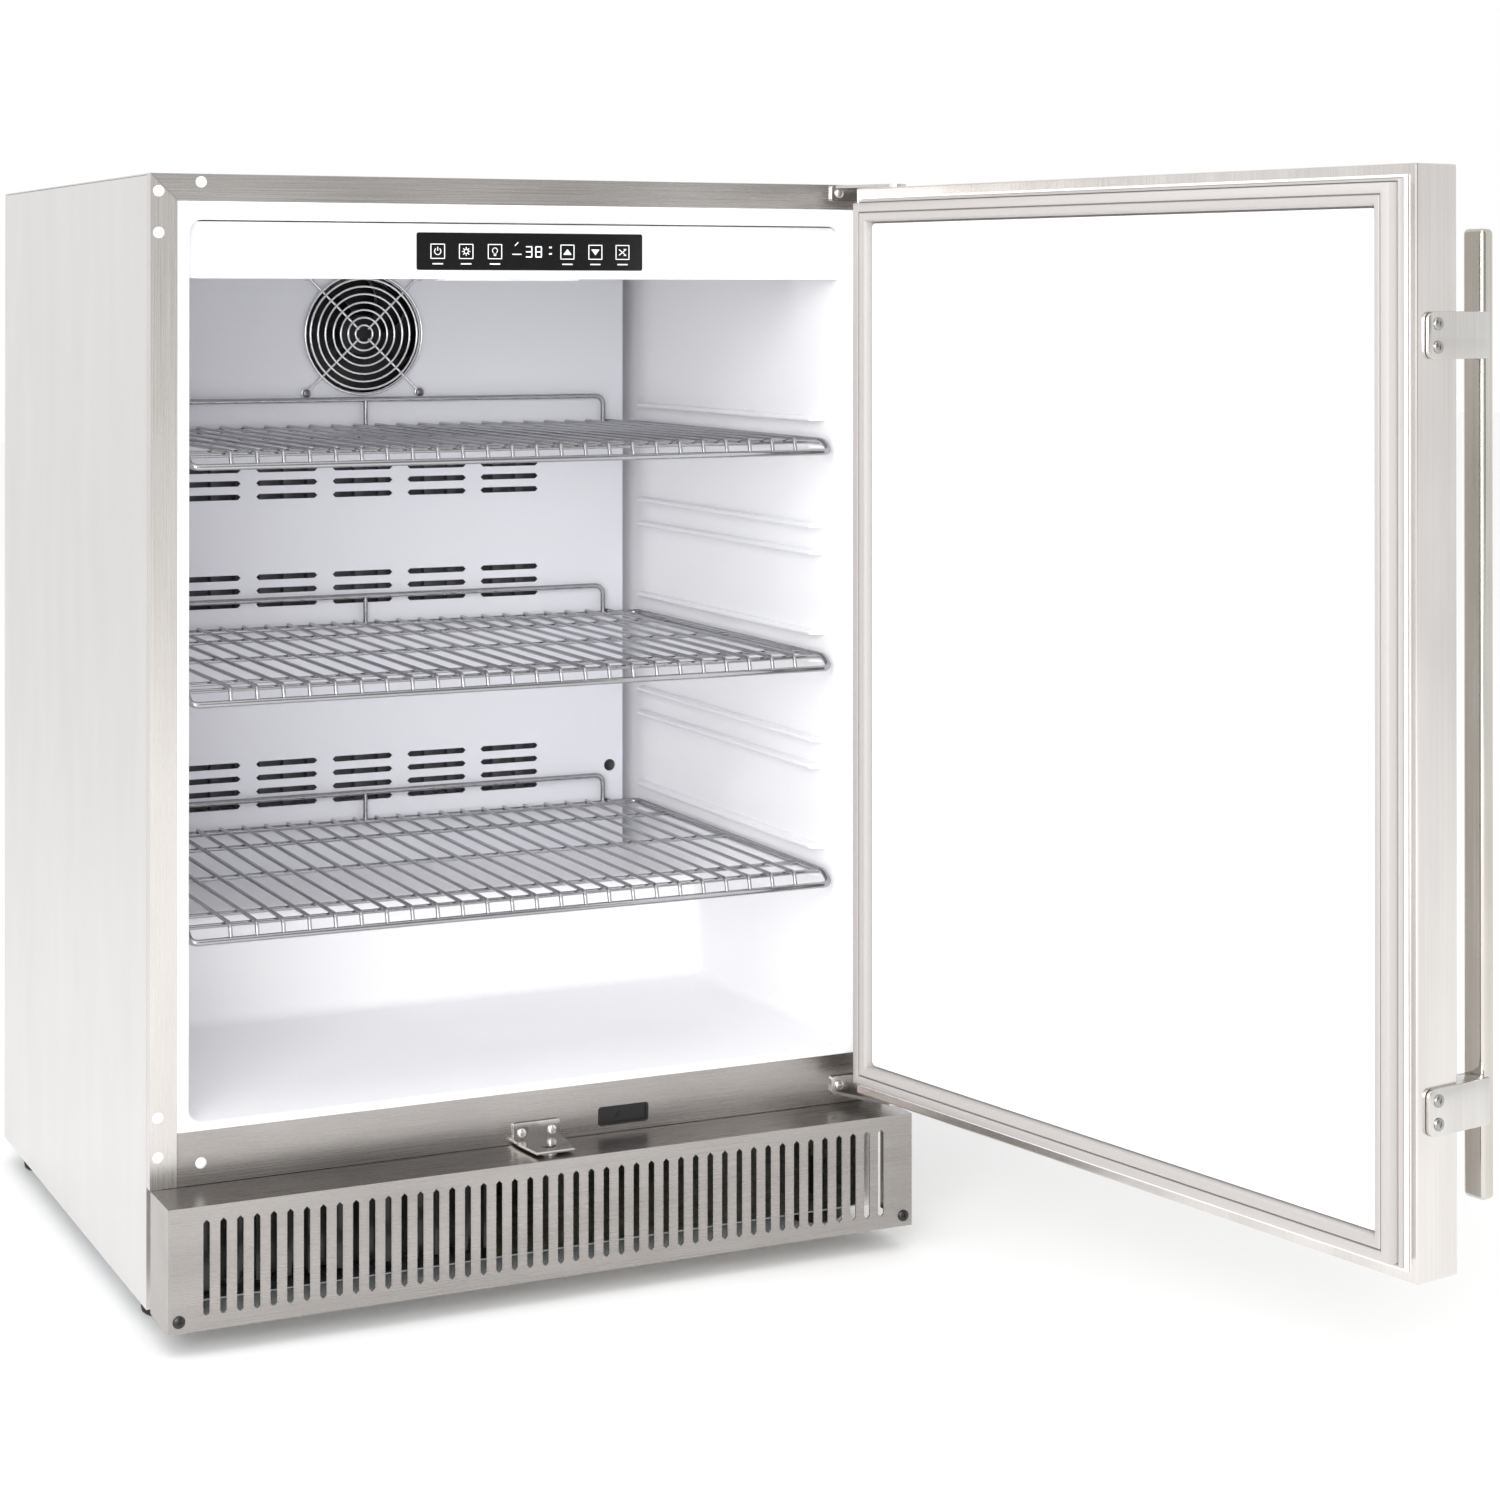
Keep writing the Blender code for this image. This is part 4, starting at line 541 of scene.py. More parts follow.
def extrude_ring(
    shape: bmesh.types.BMesh, edges: list[bmesh.types.BMEdge]
) -> tuple[list[bmesh.types.BMVert], list[bmesh.types.BMEdge]]:
    """Extrude a ring of edges.

    Args:
        shape: The bmesh that holds them.
        edges: The ring.

    Returns:
        The new ring's vertices and its edges.
    """
    made = bmesh.ops.extrude_edge_only(shape, edges=edges)["geom"]
    verts = [g for g in made if isinstance(g, bmesh.types.BMVert)]
    edges = [g for g in made if isinstance(g, bmesh.types.BMEdge)]
    return verts, [edge for edge in edges if all(v in verts for v in edge.verts)]


def spin_round(
    shape: bmesh.types.BMesh,
    section: list[bmesh.types.BMVert],
    edges: list[bmesh.types.BMEdge],
    centre: Vector,
    axis: Vector,
    steps: int,
) -> None:
    """Spin a section all the way round an axis.

    Args:
        shape: The bmesh that holds it.
        section: The section's vertices.
        edges: Its edges.
        centre: A point on the axis.
        axis: The axis's direction.
        steps: How many steps the turn has.
    """
    bmesh.ops.spin(
        shape,
        geom=section + edges,
        cent=centre,
        axis=axis,
        angle=math.tau,
        steps=steps,
        use_merge=True,
        use_duplicate=False,
    )


def block(
    shape: bmesh.types.BMesh, low: Vector, high: Vector, radius: float = 0.0, segments: int = 2
) -> list[bmesh.types.BMVert]:
    """Add a block, with its edges rounded when a radius is given.

    Args:
        shape: The bmesh to add to.
        low: The block's lowest corner.
        high: Its highest corner.
        radius: The edge radius, in metres.
        segments: How many steps the rounding has.

    Returns:
        The block's vertices.
    """
    size = high - low
    matrix = Matrix.Translation((low + high) / 2) @ Matrix.Diagonal((*size, 1.0))
    made = bmesh.ops.create_cube(shape, size=1.0, matrix=matrix)["verts"]
    if radius <= 0.0:
        return made
    rounded = round_edges(shape, edges_of(made), radius, segments)
    return list(dict.fromkeys([*rounded, *(v for v in made if v.is_valid)]))


def turn(
    shape: bmesh.types.BMesh, profile: list[tuple[float, float]], centre: Vector, axis: Vector, steps: int
) -> None:
    """Spin a profile of (radius, height) pairs round an axis through a centre.

    Args:
        shape: The bmesh to add to.
        profile: Points from the top down the outer side.
        centre: A point on the axis, where height is zero.
        axis: The axis's direction, which heights follow.
        steps: How many steps the turn has.
    """
    along = axis.normalized()
    aside = along.orthogonal().normalized()
    line = [shape.verts.new(centre + aside * radius + along * height) for radius, height in profile]
    edges = [shape.edges.new(pair) for pair in zip(line, line[1:])]
    spin_round(shape, line, edges, centre, along, steps)


def rounded_run(points: list[Vector], radius: float, steps: int = 4, closed: bool = False) -> list[Vector]:
    """Round the corners of a run of points.

    Args:
        points: The run's corners.
        radius: The distance each corner is cut back by.
        steps: How many steps each corner has.
        closed: Whether the last point joins the first.

    Returns:
        The run with its corners rounded.
    """
    run: list[Vector] = []
    count = len(points)
    for i, here in enumerate(points):
        if not closed and i in (0, count - 1):
            run.append(here.copy())
            continue
        before = points[i - 1] - here
        after = points[(i + 1) % count] - here
        cut = min(radius, before.length * 0.49, after.length * 0.49)
        start = here + before.normalized() * cut
        end = here + after.normalized() * cut
        for step in range(steps + 1):
            t = step / steps
            run.append(start * (1 - t) ** 2 + here * 2 * t * (1 - t) + end * t**2)
    return run


def wire(
    shape: bmesh.types.BMesh, run: list[Vector], radius: float, sides: int = 10, closed: bool = False
) -> None:
    """Draw a round wire along a run: a circle is extruded, and each ring is laid in its mitre plane.

    Args:
        shape: The bmesh to add to.
        run: The centre line.
        radius: The wire's radius.
        sides: How many sides its section has.
        closed: Whether the last point joins the first.
    """
    count = len(run)

    def mitre(i: int) -> tuple[Vector, Vector]:
        """The direction into point i, and the normal of the plane its ring lies in."""
        into = run[i] - run[i - 1] if closed or i else run[1] - run[0]
        out = run[(i + 1) % count] - run[i] if closed or i + 1 < count else into
        return into.normalized(), (into.normalized() + out.normalized()).normalized()

    into, normal = mitre(0)
    turn_up = Vector((0, 0, 1)).rotation_difference(into).to_matrix().to_4x4()
    place = Matrix.Translation(run[0]) @ turn_up
    ring = bmesh.ops.create_circle(
        shape, cap_ends=not closed, radius=radius, segments=sides, matrix=place
    )["verts"]
    lay(ring, run[0], into, normal)
    first = [edge for edge in edges_of(ring) if all(v in ring for v in edge.verts)]
    edges = first
    for i in range(1, count):
        ring, edges = extrude_ring(shape, edges)
        bmesh.ops.translate(shape, verts=ring, vec=run[i] - run[i - 1])
        into, normal = mitre(i)
        lay(ring, run[i], into, normal)
    if closed:
        bmesh.ops.bridge_loops(shape, edges=edges + first)
    else:
        bmesh.ops.holes_fill(shape, edges=edges, sides=sides)


def lay(ring: list[bmesh.types.BMVert], centre: Vector, into: Vector, normal: Vector) -> None:
    """Slide a ring's vertices along the wire until they lie in the plane through its centre."""
    slope = into.dot(normal)
    for vertex in ring:
        vertex.co += into * ((centre - vertex.co).dot(normal) / slope)


@dataclass
class CrossScrew:
    """A pan-head screw with a cross recess, standing on a face."""

    centre: Vector
    axis: Vector
    radius: float = 4.4 * MM
    rise: float = 2.4 * MM
    finish: Finish = SCREW
    recess_span: float = 0.58
    recess_half: float = 0.13
    recess_taper: float = 0.55

    def build(self, name: str) -> bpy.types.Object:
        """Spin the head, then sink the cross into it.

        Args:
            name: The piece's name.

        Returns:
            The screw.
        """
        head = [(0.0, self.rise)]
        for step in range(1, 7):
            angle = math.radians(90 - step * 15)
            head.append((self.radius * math.cos(angle), self.rise * (0.25 + 0.75 * math.sin(angle))))
        head += [(self.radius, 0.0), (0.0, 0.0)]
        shape = bmesh.new()
        turn(shape, head, self.centre, self.axis, 24)
        screw = settle(shape, name, self.finish)
        recess = self.recess(name)
        cut = screw.modifiers.new("recess", "BOOLEAN")
        cut.object = recess
        cut.operation = "DIFFERENCE"
        cut.solver = "EXACT"
        cut.use_self = True
        graph = bpy.context.evaluated_depsgraph_get()
        sunk = bpy.data.meshes.new_from_object(screw.evaluated_get(graph))
        screw.modifiers.clear()
        screw.data = sunk
        screw.data.name = name
        bpy.data.objects.remove(recess)
        return screw

    def recess(self, name: str) -> bpy.types.Object:
        """Two crossed tapering blades, as a driver tip has.

        Args:
            name: The screw's name.

        Returns:
            The object to cut with.
        """
        shape = bmesh.new()
        span = self.radius * self.recess_span
        half = self.radius * self.recess_half
        for size in ((span, half), (half, span)):
            low = Vector((-size[0], -size[1], -0.45 * self.rise))
            high = Vector((size[0], size[1], 0.8 * self.rise))
            made = block(shape, low, high)
            bottom = [v for v in made if v.co.z < 0]
            bmesh.ops.scale(shape, verts=bottom, vec=(self.recess_taper, self.recess_taper, 1.0))
        along = self.axis.normalized()
        upright = Vector((0, 0, 1)).rotation_difference(along).to_matrix().to_4x4()
        matrix = Matrix.Translation(self.centre + along * self.rise) @ upright
        bmesh.ops.transform(shape, matrix=matrix, verts=shape.verts)
        mesh = bpy.data.meshes.new(f"{name}_recess")
        shape.to_mesh(mesh)
        shape.free()
        blade = bpy.data.objects.new(f"{name}_recess", mesh)
        bpy.context.scene.collection.objects.link(blade)
        return blade


# ---------------------------------------------------------------- the cavity
@dataclass
class Cavity:
    """The formed white liner as one sheet: rolled mouth, rounded corners, step and shelf guides."""

    wall: float = 2.0 * MM
    corner: float = 10.0 * MM
    mouth: float = 6.0 * MM
    flange: float = 10.0 * MM
    floor_rise: float = 17.0 * MM
    step_depth: float = 190.0 * MM
    step_lean: float = 4.0 * MM
    guide_reach: float = 10.0 * MM
    guide_height: float = 4.0 * MM
    guide_root: float = 1.5 * MM
    guide_radius: float = 1.6 * MM
    guide_front: float = 34.0 * MM
    guide_back: float = 8.0 * MM
    guide_slant: tuple[float, float] = (12.0 * MM, 10.0 * MM)
    guide_opening: float = 18.3 * MM
    guide_levels: int = 5
    rail_rise: float = 28.3 * MM
    rim_drop: float = 2.8 * MM

    def build(self) -> None:
        """Form the sheet, add its guides and put it in place of the five CAD walls."""
        left, right, roof, back, floor = (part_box(node) for node in LINER_WALLS)
        inner_low = left[1].x - self.guide_reach
        inner_high = right[0].x + self.guide_reach
        low = Vector((inner_low, left[0].y + self.mouth, floor[0].z + self.floor_rise))
        high = Vector((inner_high, back[0].y, roof[0].z))
        step_top = floor[1].z
        step_front = high.y - self.step_depth
        shape = bmesh.new()
        outline = [
            (low.y, low.z),
            (step_front, low.z),
            (step_front + self.step_lean, step_top),
            (high.y, step_top),
            (high.y, high.z),
            (low.y, high.z),
        ]
        side = shape.faces.new([shape.verts.new((low.x, y, z)) for y, z in outline])
        made = bmesh.ops.extrude_face_region(shape, geom=[side])["geom"]
        verts = [g for g in made if isinstance(g, bmesh.types.BMVert)]
        bmesh.ops.translate(shape, verts=verts, vec=(high.x - low.x, 0, 0))
        front = [f for f in shape.faces if all(abs(v.co.y - low.y) < TOUCH for v in f.verts)]
        bmesh.ops.delete(shape, geom=front, context="FACES_ONLY")
        round_edges(shape, [e for e in shape.edges if not e.is_boundary], self.corner, 4)
        self.roll_mouth(shape, low, high)
        bmesh.ops.recalc_face_normals(shape, faces=shape.faces)
        bmesh.ops.reverse_faces(shape, faces=shape.faces)
        bmesh.ops.solidify(shape, geom=shape.faces[:], thickness=self.wall)
        liner = settle(shape, "liner_shell", LINER_WHITE, 40.0)
        mount(liner, "cabinet", "liner_floor", *LINER_WALLS)
        self.guides(low, high)

    def roll_mouth(self, shape: bmesh.types.BMesh, low: Vector, high: Vector) -> None:
        """Roll the open edge outwards and lay it flat as a flange.

        Args:
            shape: The liner's bmesh.
            low: The cavity's lowest corner.
            high: Its highest corner.
        """
        middle = (low + high) / 2
        half = (high - low) / 2
        edges = [e for e in shape.edges if e.is_boundary]
        reach = 0.0
        angles = (0.39, 0.79, 1.18, 1.571)
        steps = [(self.mouth * (1 - math.cos(a)), self.mouth * math.sin(a)) for a in angles]
        steps.append((self.mouth + self.flange, self.mouth))
        for out, forward in steps:
            verts, edges = extrude_ring(shape, edges)
            grow_x = (half.x + out) / (half.x + reach)
            grow_z = (half.z + out) / (half.z + reach)
            about = Matrix.Translation(-Vector((middle.x, 0, middle.z)))
            bmesh.ops.scale(shape, verts=verts, vec=(grow_x, 1.0, grow_z), space=about)
            shift = low.y - forward - verts[0].co.y
            bmesh.ops.translate(shape, verts=verts, vec=(0, shift, 0))
            reach = out

    def guides(self, low: Vector, high: Vector) -> None:
        """Add the paired shelf guides to both side walls.

        Args:
            low: The cavity's lowest corner.
            high: Its highest corner.
        """
        front = low.y + self.guide_front
        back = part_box("evaporator_cover")[0].y - self.guide_back
        shape = bmesh.new()
        for wall_x, inward in ((low.x, 1), (high.x, -1)):
            near = wall_x - inward * self.guide_root
            far = wall_x + inward * self.guide_reach
            for bottom in self.guide_rows():
                corner = Vector((min(near, far), front, bottom))
                other = Vector((max(near, far), back, bottom + self.guide_height))
                made = block(shape, corner, other)
                for tip in [v for v in made if abs(v.co.x - far) < TOUCH]:
                    in_front = tip.co.y < (front + back) / 2
                    tip.co.y += self.guide_slant[0] if in_front else -self.guide_slant[1]
                round_edges(shape, edges_of(made), self.guide_radius, 3)
        guides = settle(shape, "liner_shelf_guides", LINER_WHITE, 50.0)
        mount(guides, "cabinet", "liner_left")

    def guide_rows(self) -> list[float]:
        """Find the height of each guide from the shelves that rest on them.

        Returns:
            The underside height of every guide, lower and upper of each pair.
        """
        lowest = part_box("shelf_bottom")[1].z - self.rail_rise
        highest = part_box("shelf_top")[1].z - self.rail_rise
        pitch = (highest - lowest) / (self.guide_levels - 1)
        rows = []
        for level in range(self.guide_levels):
            rest = lowest + level * pitch - self.rim_drop - self.guide_height
            rows += [rest, rest + self.guide_height + self.guide_opening]
        return rows


# ---------------------------------------------------------------- wire shelves
@dataclass
class WireShelf:
    """A plated wire shelf: rod rim, close wires that nose down in front, cross rods and a rear rail."""

    node: str
    rod: float = 2.5 * MM
    wire: float = 1.65 * MM
    cross: float = 1.8 * MM
    pitch: float = 20.3 * MM
    rail_rise: float = 26.0 * MM
    rail_inset: float = 35.0 * MM
    rail_radius: float = 2.3 * MM
    post_radius: float = 2.0 * MM
    nose_drop: float = 8.5 * MM
    nose_depth: float = 12.0 * MM
    corner: float = 9.0 * MM
    cross_shares: tuple[float, ...] = (0.05, 0.15, 0.50, 0.82)

    def build(self) -> None:
        """Draw every wire at its CAD place and put the shelf on its own body."""
        low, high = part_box(self.node)
        middle = (low.x + high.x) / 2
        half = (high.x - low.x) / 2 - self.rod
        front = low.y + self.rod
        back = high.y - self.rod
        level = high.z - self.rail_rise - self.rail_radius
        nose = level - self.nose_drop
        shape = bmesh.new()
        bend = front + self.nose_depth
        left = [Vector((middle - half, y, z)) for y, z in ((back, level), (bend, level), (front, nose))]
        right = [Vector((middle + half, y, z)) for y, z in ((front, nose), (bend, level), (back, level))]
        wire(shape, rounded_run(left + right, self.corner, 6, True), self.rod, 12, True)
        top = level + 3.0 * MM
        count = int((half - 6.0 * MM) / self.pitch)
        path = ((back + 1.0 * MM, top), (front + 3.5 * MM, top), (front + 0.4 * MM, nose + 0.5 * MM))
        for i in range(-count, count):
            run = [Vector((middle + (i + 0.5) * self.pitch, y, z)) for y, z in path]
            wire(shape, rounded_run(run, 4.0 * MM, 4), self.wire, 8)
        for share in self.cross_shares:
            y = front + (back - front) * share
            run = [Vector((middle + side * half, y, level - 0.8 * MM)) for side in (-1, 1)]
            wire(shape, run, self.cross, 10)
        rail = half - self.rail_inset
        rise = level + self.rail_rise
        path = ((-rail, level), (-rail, rise), (rail, rise), (rail, level))
        hoop = [Vector((middle + x, back, z)) for x, z in path]
        wire(shape, rounded_run(hoop, self.corner, 6), self.rail_radius, 12)
        wire(shape, [Vector((middle, back, z)) for z in (level, rise)], self.post_radius, 10)
        piece = settle(shape, f"{self.node}_wirework", WIRE, 60.0)
        mount(piece, self.node, self.node, self.node)


# ---------------------------------------------------------------- the open door
def door_turn() -> Matrix:
    """Find the turn that takes the shut door to where it stands open.

    Returns:
        A rotation about the hinge axis.
    """
    joint = next(j for j in frame["joints"] if j["name"] == "door_hinge")
    hinge = Vector(joint["pos_m"])
    turned = Matrix.Rotation(math.radians(-joint["range_deg"][0]), 4, "Z")
    return Matrix.Translation(hinge) @ turned @ Matrix.Translation(-hinge)


def shut_box(node: str) -> tuple[Vector, Vector]:
    """Measure a door node as it lies when the door is shut.

    Args:
        node: The node's name.

    Returns:
        Its lowest and highest corners.
    """
    back = door_turn().inverted() @ NODES[node].matrix_world
    spots = [back @ vertex.co for vertex in NODES[node].data.vertices]
    low = Vector([min(spot[i] for spot in spots) for i in range(3)])
    high = Vector([max(spot[i] for spot in spots) for i in range(3)])
    return low, high


def hang_on_door(
    shape: bmesh.types.BMesh, name: str, finish: Finish, smooth: float, slot: str, *replaced: str
) -> None:
    """Swing a shape made on the shut door to where it stands open, and mount it there.

    Args:
        shape: The bmesh, which is freed.
        name: The piece's name.
        finish: Its finish.
        smooth: The smoothing angle, in degrees.
        slot: Handed on to mount, which does not use it.
        replaced: The CAD nodes it stands for.
    """
    bmesh.ops.transform(shape, matrix=door_turn(), verts=shape.verts)
    mount(settle(shape, name, finish, smooth), "door", slot, *replaced)


def frame_sweep(
    shape: bmesh.types.BMesh, low: Vector, high: Vector, section: list[tuple[float, float]]
) -> None:
    """Run a section round an upright rectangle, mitred at its corners.

    Args:
        shape: The bmesh to add to.
        low: The rectangle's lowest corner, on the plane that the section stands on.
        high: Its highest corner.
        section: Pairs of (distance inwards, height towards +Y), from the outside in, in millimetres.
    """
    middle = (low + high) / 2
    upright = Matrix.Translation(Vector((middle.x, low.y, middle.z))) @ Matrix.Rotation(math.pi / 2, 4, "X")
    made = bmesh.ops.create_grid(shape, x_segments=1, y_segments=1, size=0.5, matrix=upright)["verts"]
    face = made[0].link_faces[0]
    edges = list(face.edges)
    bmesh.ops.delete(shape, geom=[face], context="FACES_ONLY")
    about = Matrix.Translation(Vector((-middle.x, 0.0, -middle.z)))
    size = Vector((1.0, 1.0, 1.0))
    first: list[bmesh.types.BMEdge] = []
    verts = made
    for inward, height in section:
        if first:
            verts, edges = extrude_ring(shape, edges)
        else:
            first = list(edges)
        target = Vector((high.x - low.x - 2 * inward * MM, 1.0, high.z - low.z - 2 * inward * MM))
        factor = (target.x / size.x, 1.0, target.z / size.z)
        bmesh.ops.scale(shape, verts=verts, vec=factor, space=about)
        bmesh.ops.translate(shape, verts=verts, vec=(0, low.y + height * MM - verts[0].co.y, 0))
        size = target
    bmesh.ops.bridge_loops(shape, edges=edges + first)


@dataclass
class DoorSeal:
    """The mitred two-band gasket and the white rim of the door's inner panel beside it."""

    wide: float = 17.4
    flange: float = 3.4
    rim_reach: float = 2.6 * MM

    def build(self) -> None:
        """Sweep both sections round the door and swing them open with it."""
        low, high = shut_box("door_gasket")
        tall = (high.y - low.y) / MM
        wide = self.wide
        section = [
            (0.0, 0.0),
            (0.0, 4.6),
            (0.5, 5.2),
            (1.5, 5.2),
            (1.7, 2.4),
            (2.4, 2.4),
            (2.6, tall - 1.6),
            (3.3, tall - 0.5),
            (4.2, tall - 0.1),
            (9.0, tall - 0.1),
            (9.6, tall - 0.6),
            (9.8, tall - 3.4),
            (10.5, tall - 3.4),
            (10.7, tall - 0.9),
            (11.3, tall - 0.5),
            (wide - 1.8, tall - 1.4),
            (wide - 0.6, tall - 2.4),
            (wide, tall - 4.0),
            (wide, 3.0),
            (wide + 0.9, 1.8),
            (wide + self.flange, 1.5),
            (wide + self.flange, 0.0),
        ]
        shape = bmesh.new()
        frame_sweep(shape, low, high, section)
        hang_on_door(shape, "door_gasket_seal", GASKET, 40.0, "door_gasket", "door_gasket")
        self.rim(low, high)

    def rim(self, low: Vector, high: Vector) -> None:
        """Sweep the white rim that stands between the steel lip and the gasket.

        Args:
            low: The gasket's lowest corner with the door shut.
            high: Its highest corner.
        """
        reach = Vector((self.rim_reach, 0.0, self.rim_reach))
        shape = bmesh.new()
        section = [(0.0, 0.0), (0.0, 1.4), (0.4, 2.1), (0.9, 2.4)]
        section += [(1.3, 2.4), (1.8, 2.0), (2.1, 1.2), (2.1, 0.0)]
        frame_sweep(shape, low - reach, high + reach, section)
        hang_on_door(shape, "door_liner_rim", LINER_WHITE, 50.0, "door_liner")


@dataclass
class Handle:
    """The bar and its two bent straps, each held to the door's free edge by two screws."""

    bar_radius: float = 3.6 * MM
    plate: float = 3.0 * MM
    tongue: float = 5.5 * MM
    web_slant: float = 4.0 * MM
    web_gap: float = 0.4 * MM
    screw_pitch: float = 15.2 * MM
    screw_inset: float = 8.8 * MM
    screw_radius: float = 4.3 * MM
    screw_rise: float = 2.0 * MM

    def build(self) -> None:
        """Shape the bar and the straps on the shut door, then swing them open."""
        low, high = shut_box("handle_bar")
        shape = bmesh.new()
        block(shape, low, high, self.bar_radius, 5)
        hang_on_door(shape, "handle_bar_polished", STEEL_HANDLE, 50.0, "handle_bar", "handle_bar")
        for node in HANDLE_BRACKETS:
            self.strap(node, high.y)

    def strap(self, node: str, bar_back: float) -> None:
        """Build one strap: rounded at its screwed end, bent over the door's corner to the bar.

        Args:
            node: The CAD bracket it replaces.
            bar_back: Where the bar's rear face lies.
        """
        low, high = shut_box(node)
        shape = bmesh.new()
        made = block(shape, Vector((low.x, bar_back, low.z)), Vector((low.x + self.plate, high.y, high.z)))
        ends = [
            edge
            for edge in edges_of(made)
            if all(abs(v.co.y - high.y) < TOUCH for v in edge.verts)
            and abs(edge.verts[0].co.x - edge.verts[1].co.x) > TOUCH
        ]
        round_edges(shape, ends, self.tongue, 6)
        self.soften(shape, shape.verts[:], 0.5 * MM)
        web_low = Vector((low.x + self.web_gap, bar_back + 0.1 * MM, low.z + 0.2 * MM))
        web_high = Vector((high.x, shut_box("door_skin")[0].y - self.web_gap, high.z - 0.2 * MM))
        web = block(shape, web_low, web_high)
        halfway = (web_low.y + web_high.y) / 2
        outer = [v for v in web if abs(v.co.x - web_low.x) < TOUCH and v.co.y < halfway]
        bmesh.ops.translate(shape, verts=outer, vec=(self.web_slant, 0, 0))
        self.soften(shape, web, 0.6 * MM)
        hang_on_door(shape, f"{node}_strap", STEEL_BRIGHT, 40.0, node, node)
        swing = door_turn()
        outward = swing.to_3x3() @ Vector((-1, 0, 0))
        for side, word in ((-0.5, "low"), (0.5, "high")):
            height = (low.z + high.z) / 2 + side * self.screw_pitch
            spot = swing @ Vector((low.x, high.y - self.screw_inset, height))
            screw = CrossScrew(spot, outward, self.screw_radius, self.screw_rise, HANDLE_SCREW)
            mount(screw.build(f"{node}_screw_{word}"), "door", node)

    @staticmethod
    def soften(shape: bmesh.types.BMesh, verts: list[bmesh.types.BMVert], radius: float) -> None:
        """Break the sharp edges of a strap.

        Args:
            shape: The bmesh to work on.
            verts: The vertices whose edges are looked at.
            radius: The edge radius.
        """
        sharp = [
            edge
            for edge in edges_of(verts)
            if edge.is_manifold and edge.calc_face_angle(0.0) > math.radians(50)
        ]
        round_edges(shape, sharp, radius, 2)


# ---------------------------------------------------------------- fan guard and fans
@dataclass
class FanGuard:
    """The finger guard: welded rings on a crossed pair of bent legs, held by four screws."""

    rings: tuple[float, ...] = (7.9, 14.8, 21.7, 28.5, 36.0, 42.8, 49.7, 54.5)
    wire: float = 1.1 * MM
    leg_step: float = 1.7 * MM
    leg_start: float = 6.0 * MM
    leg_reach: float = 74.8 * MM
    eye: float = 4.0 * MM

    def build(self) -> None:
        """Spin the rings, bend the legs, and screw the guard to the duct cover."""
        low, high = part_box("fan_guard")
        centre = (low + high) / 2
        ring_y = low.y + self.wire
        hub = Vector((centre.x, ring_y + self.leg_step, centre.z))
        shape = bmesh.new()
        for ring in self.rings:
            self.hoop(shape, Vector((centre.x, ring_y, centre.z)), ring * MM)
        for quarter in range(4):
            angle = math.radians(45 + 90 * quarter)
            along = Vector((math.cos(angle), 0, math.sin(angle)))
            ends = [hub + along * self.leg_start, hub + along * (self.leg_reach - 3.9 * MM)]
            wire(shape, ends, self.wire * 1.15, 10)
            eye = hub + along * self.leg_reach
            self.hoop(shape, eye, self.eye)
            screw = CrossScrew(eye - Vector((0, 0.6 * MM, 0)), FORWARD, 3.9 * MM, 2.0 * MM, DULL_SCREW)
            mount(screw.build(f"guard_screw_{quarter}"), "cabinet", "fan_guard")
        guard = settle(shape, "fan_guard_wirework", GUARD_WIRE, 60.0)
        mount(guard, "cabinet", "fan_guard", "fan_guard")

    def hoop(self, shape: bmesh.types.BMesh, centre: Vector, radius: float) -> None:
        """Spin a wire's round section about the fan's axis.

        Args:
            shape: The bmesh to add to.
            centre: The ring's centre.
            radius: The radius of its centre line.
        """
        place = Matrix.Translation(centre + Vector((radius, 0, 0)))
        section = bmesh.ops.create_circle(shape, radius=self.wire, segments=8, matrix=place)["verts"]
        spin_round(shape, section, edges_of(section), centre, Vector((0, 1, 0)), 48)


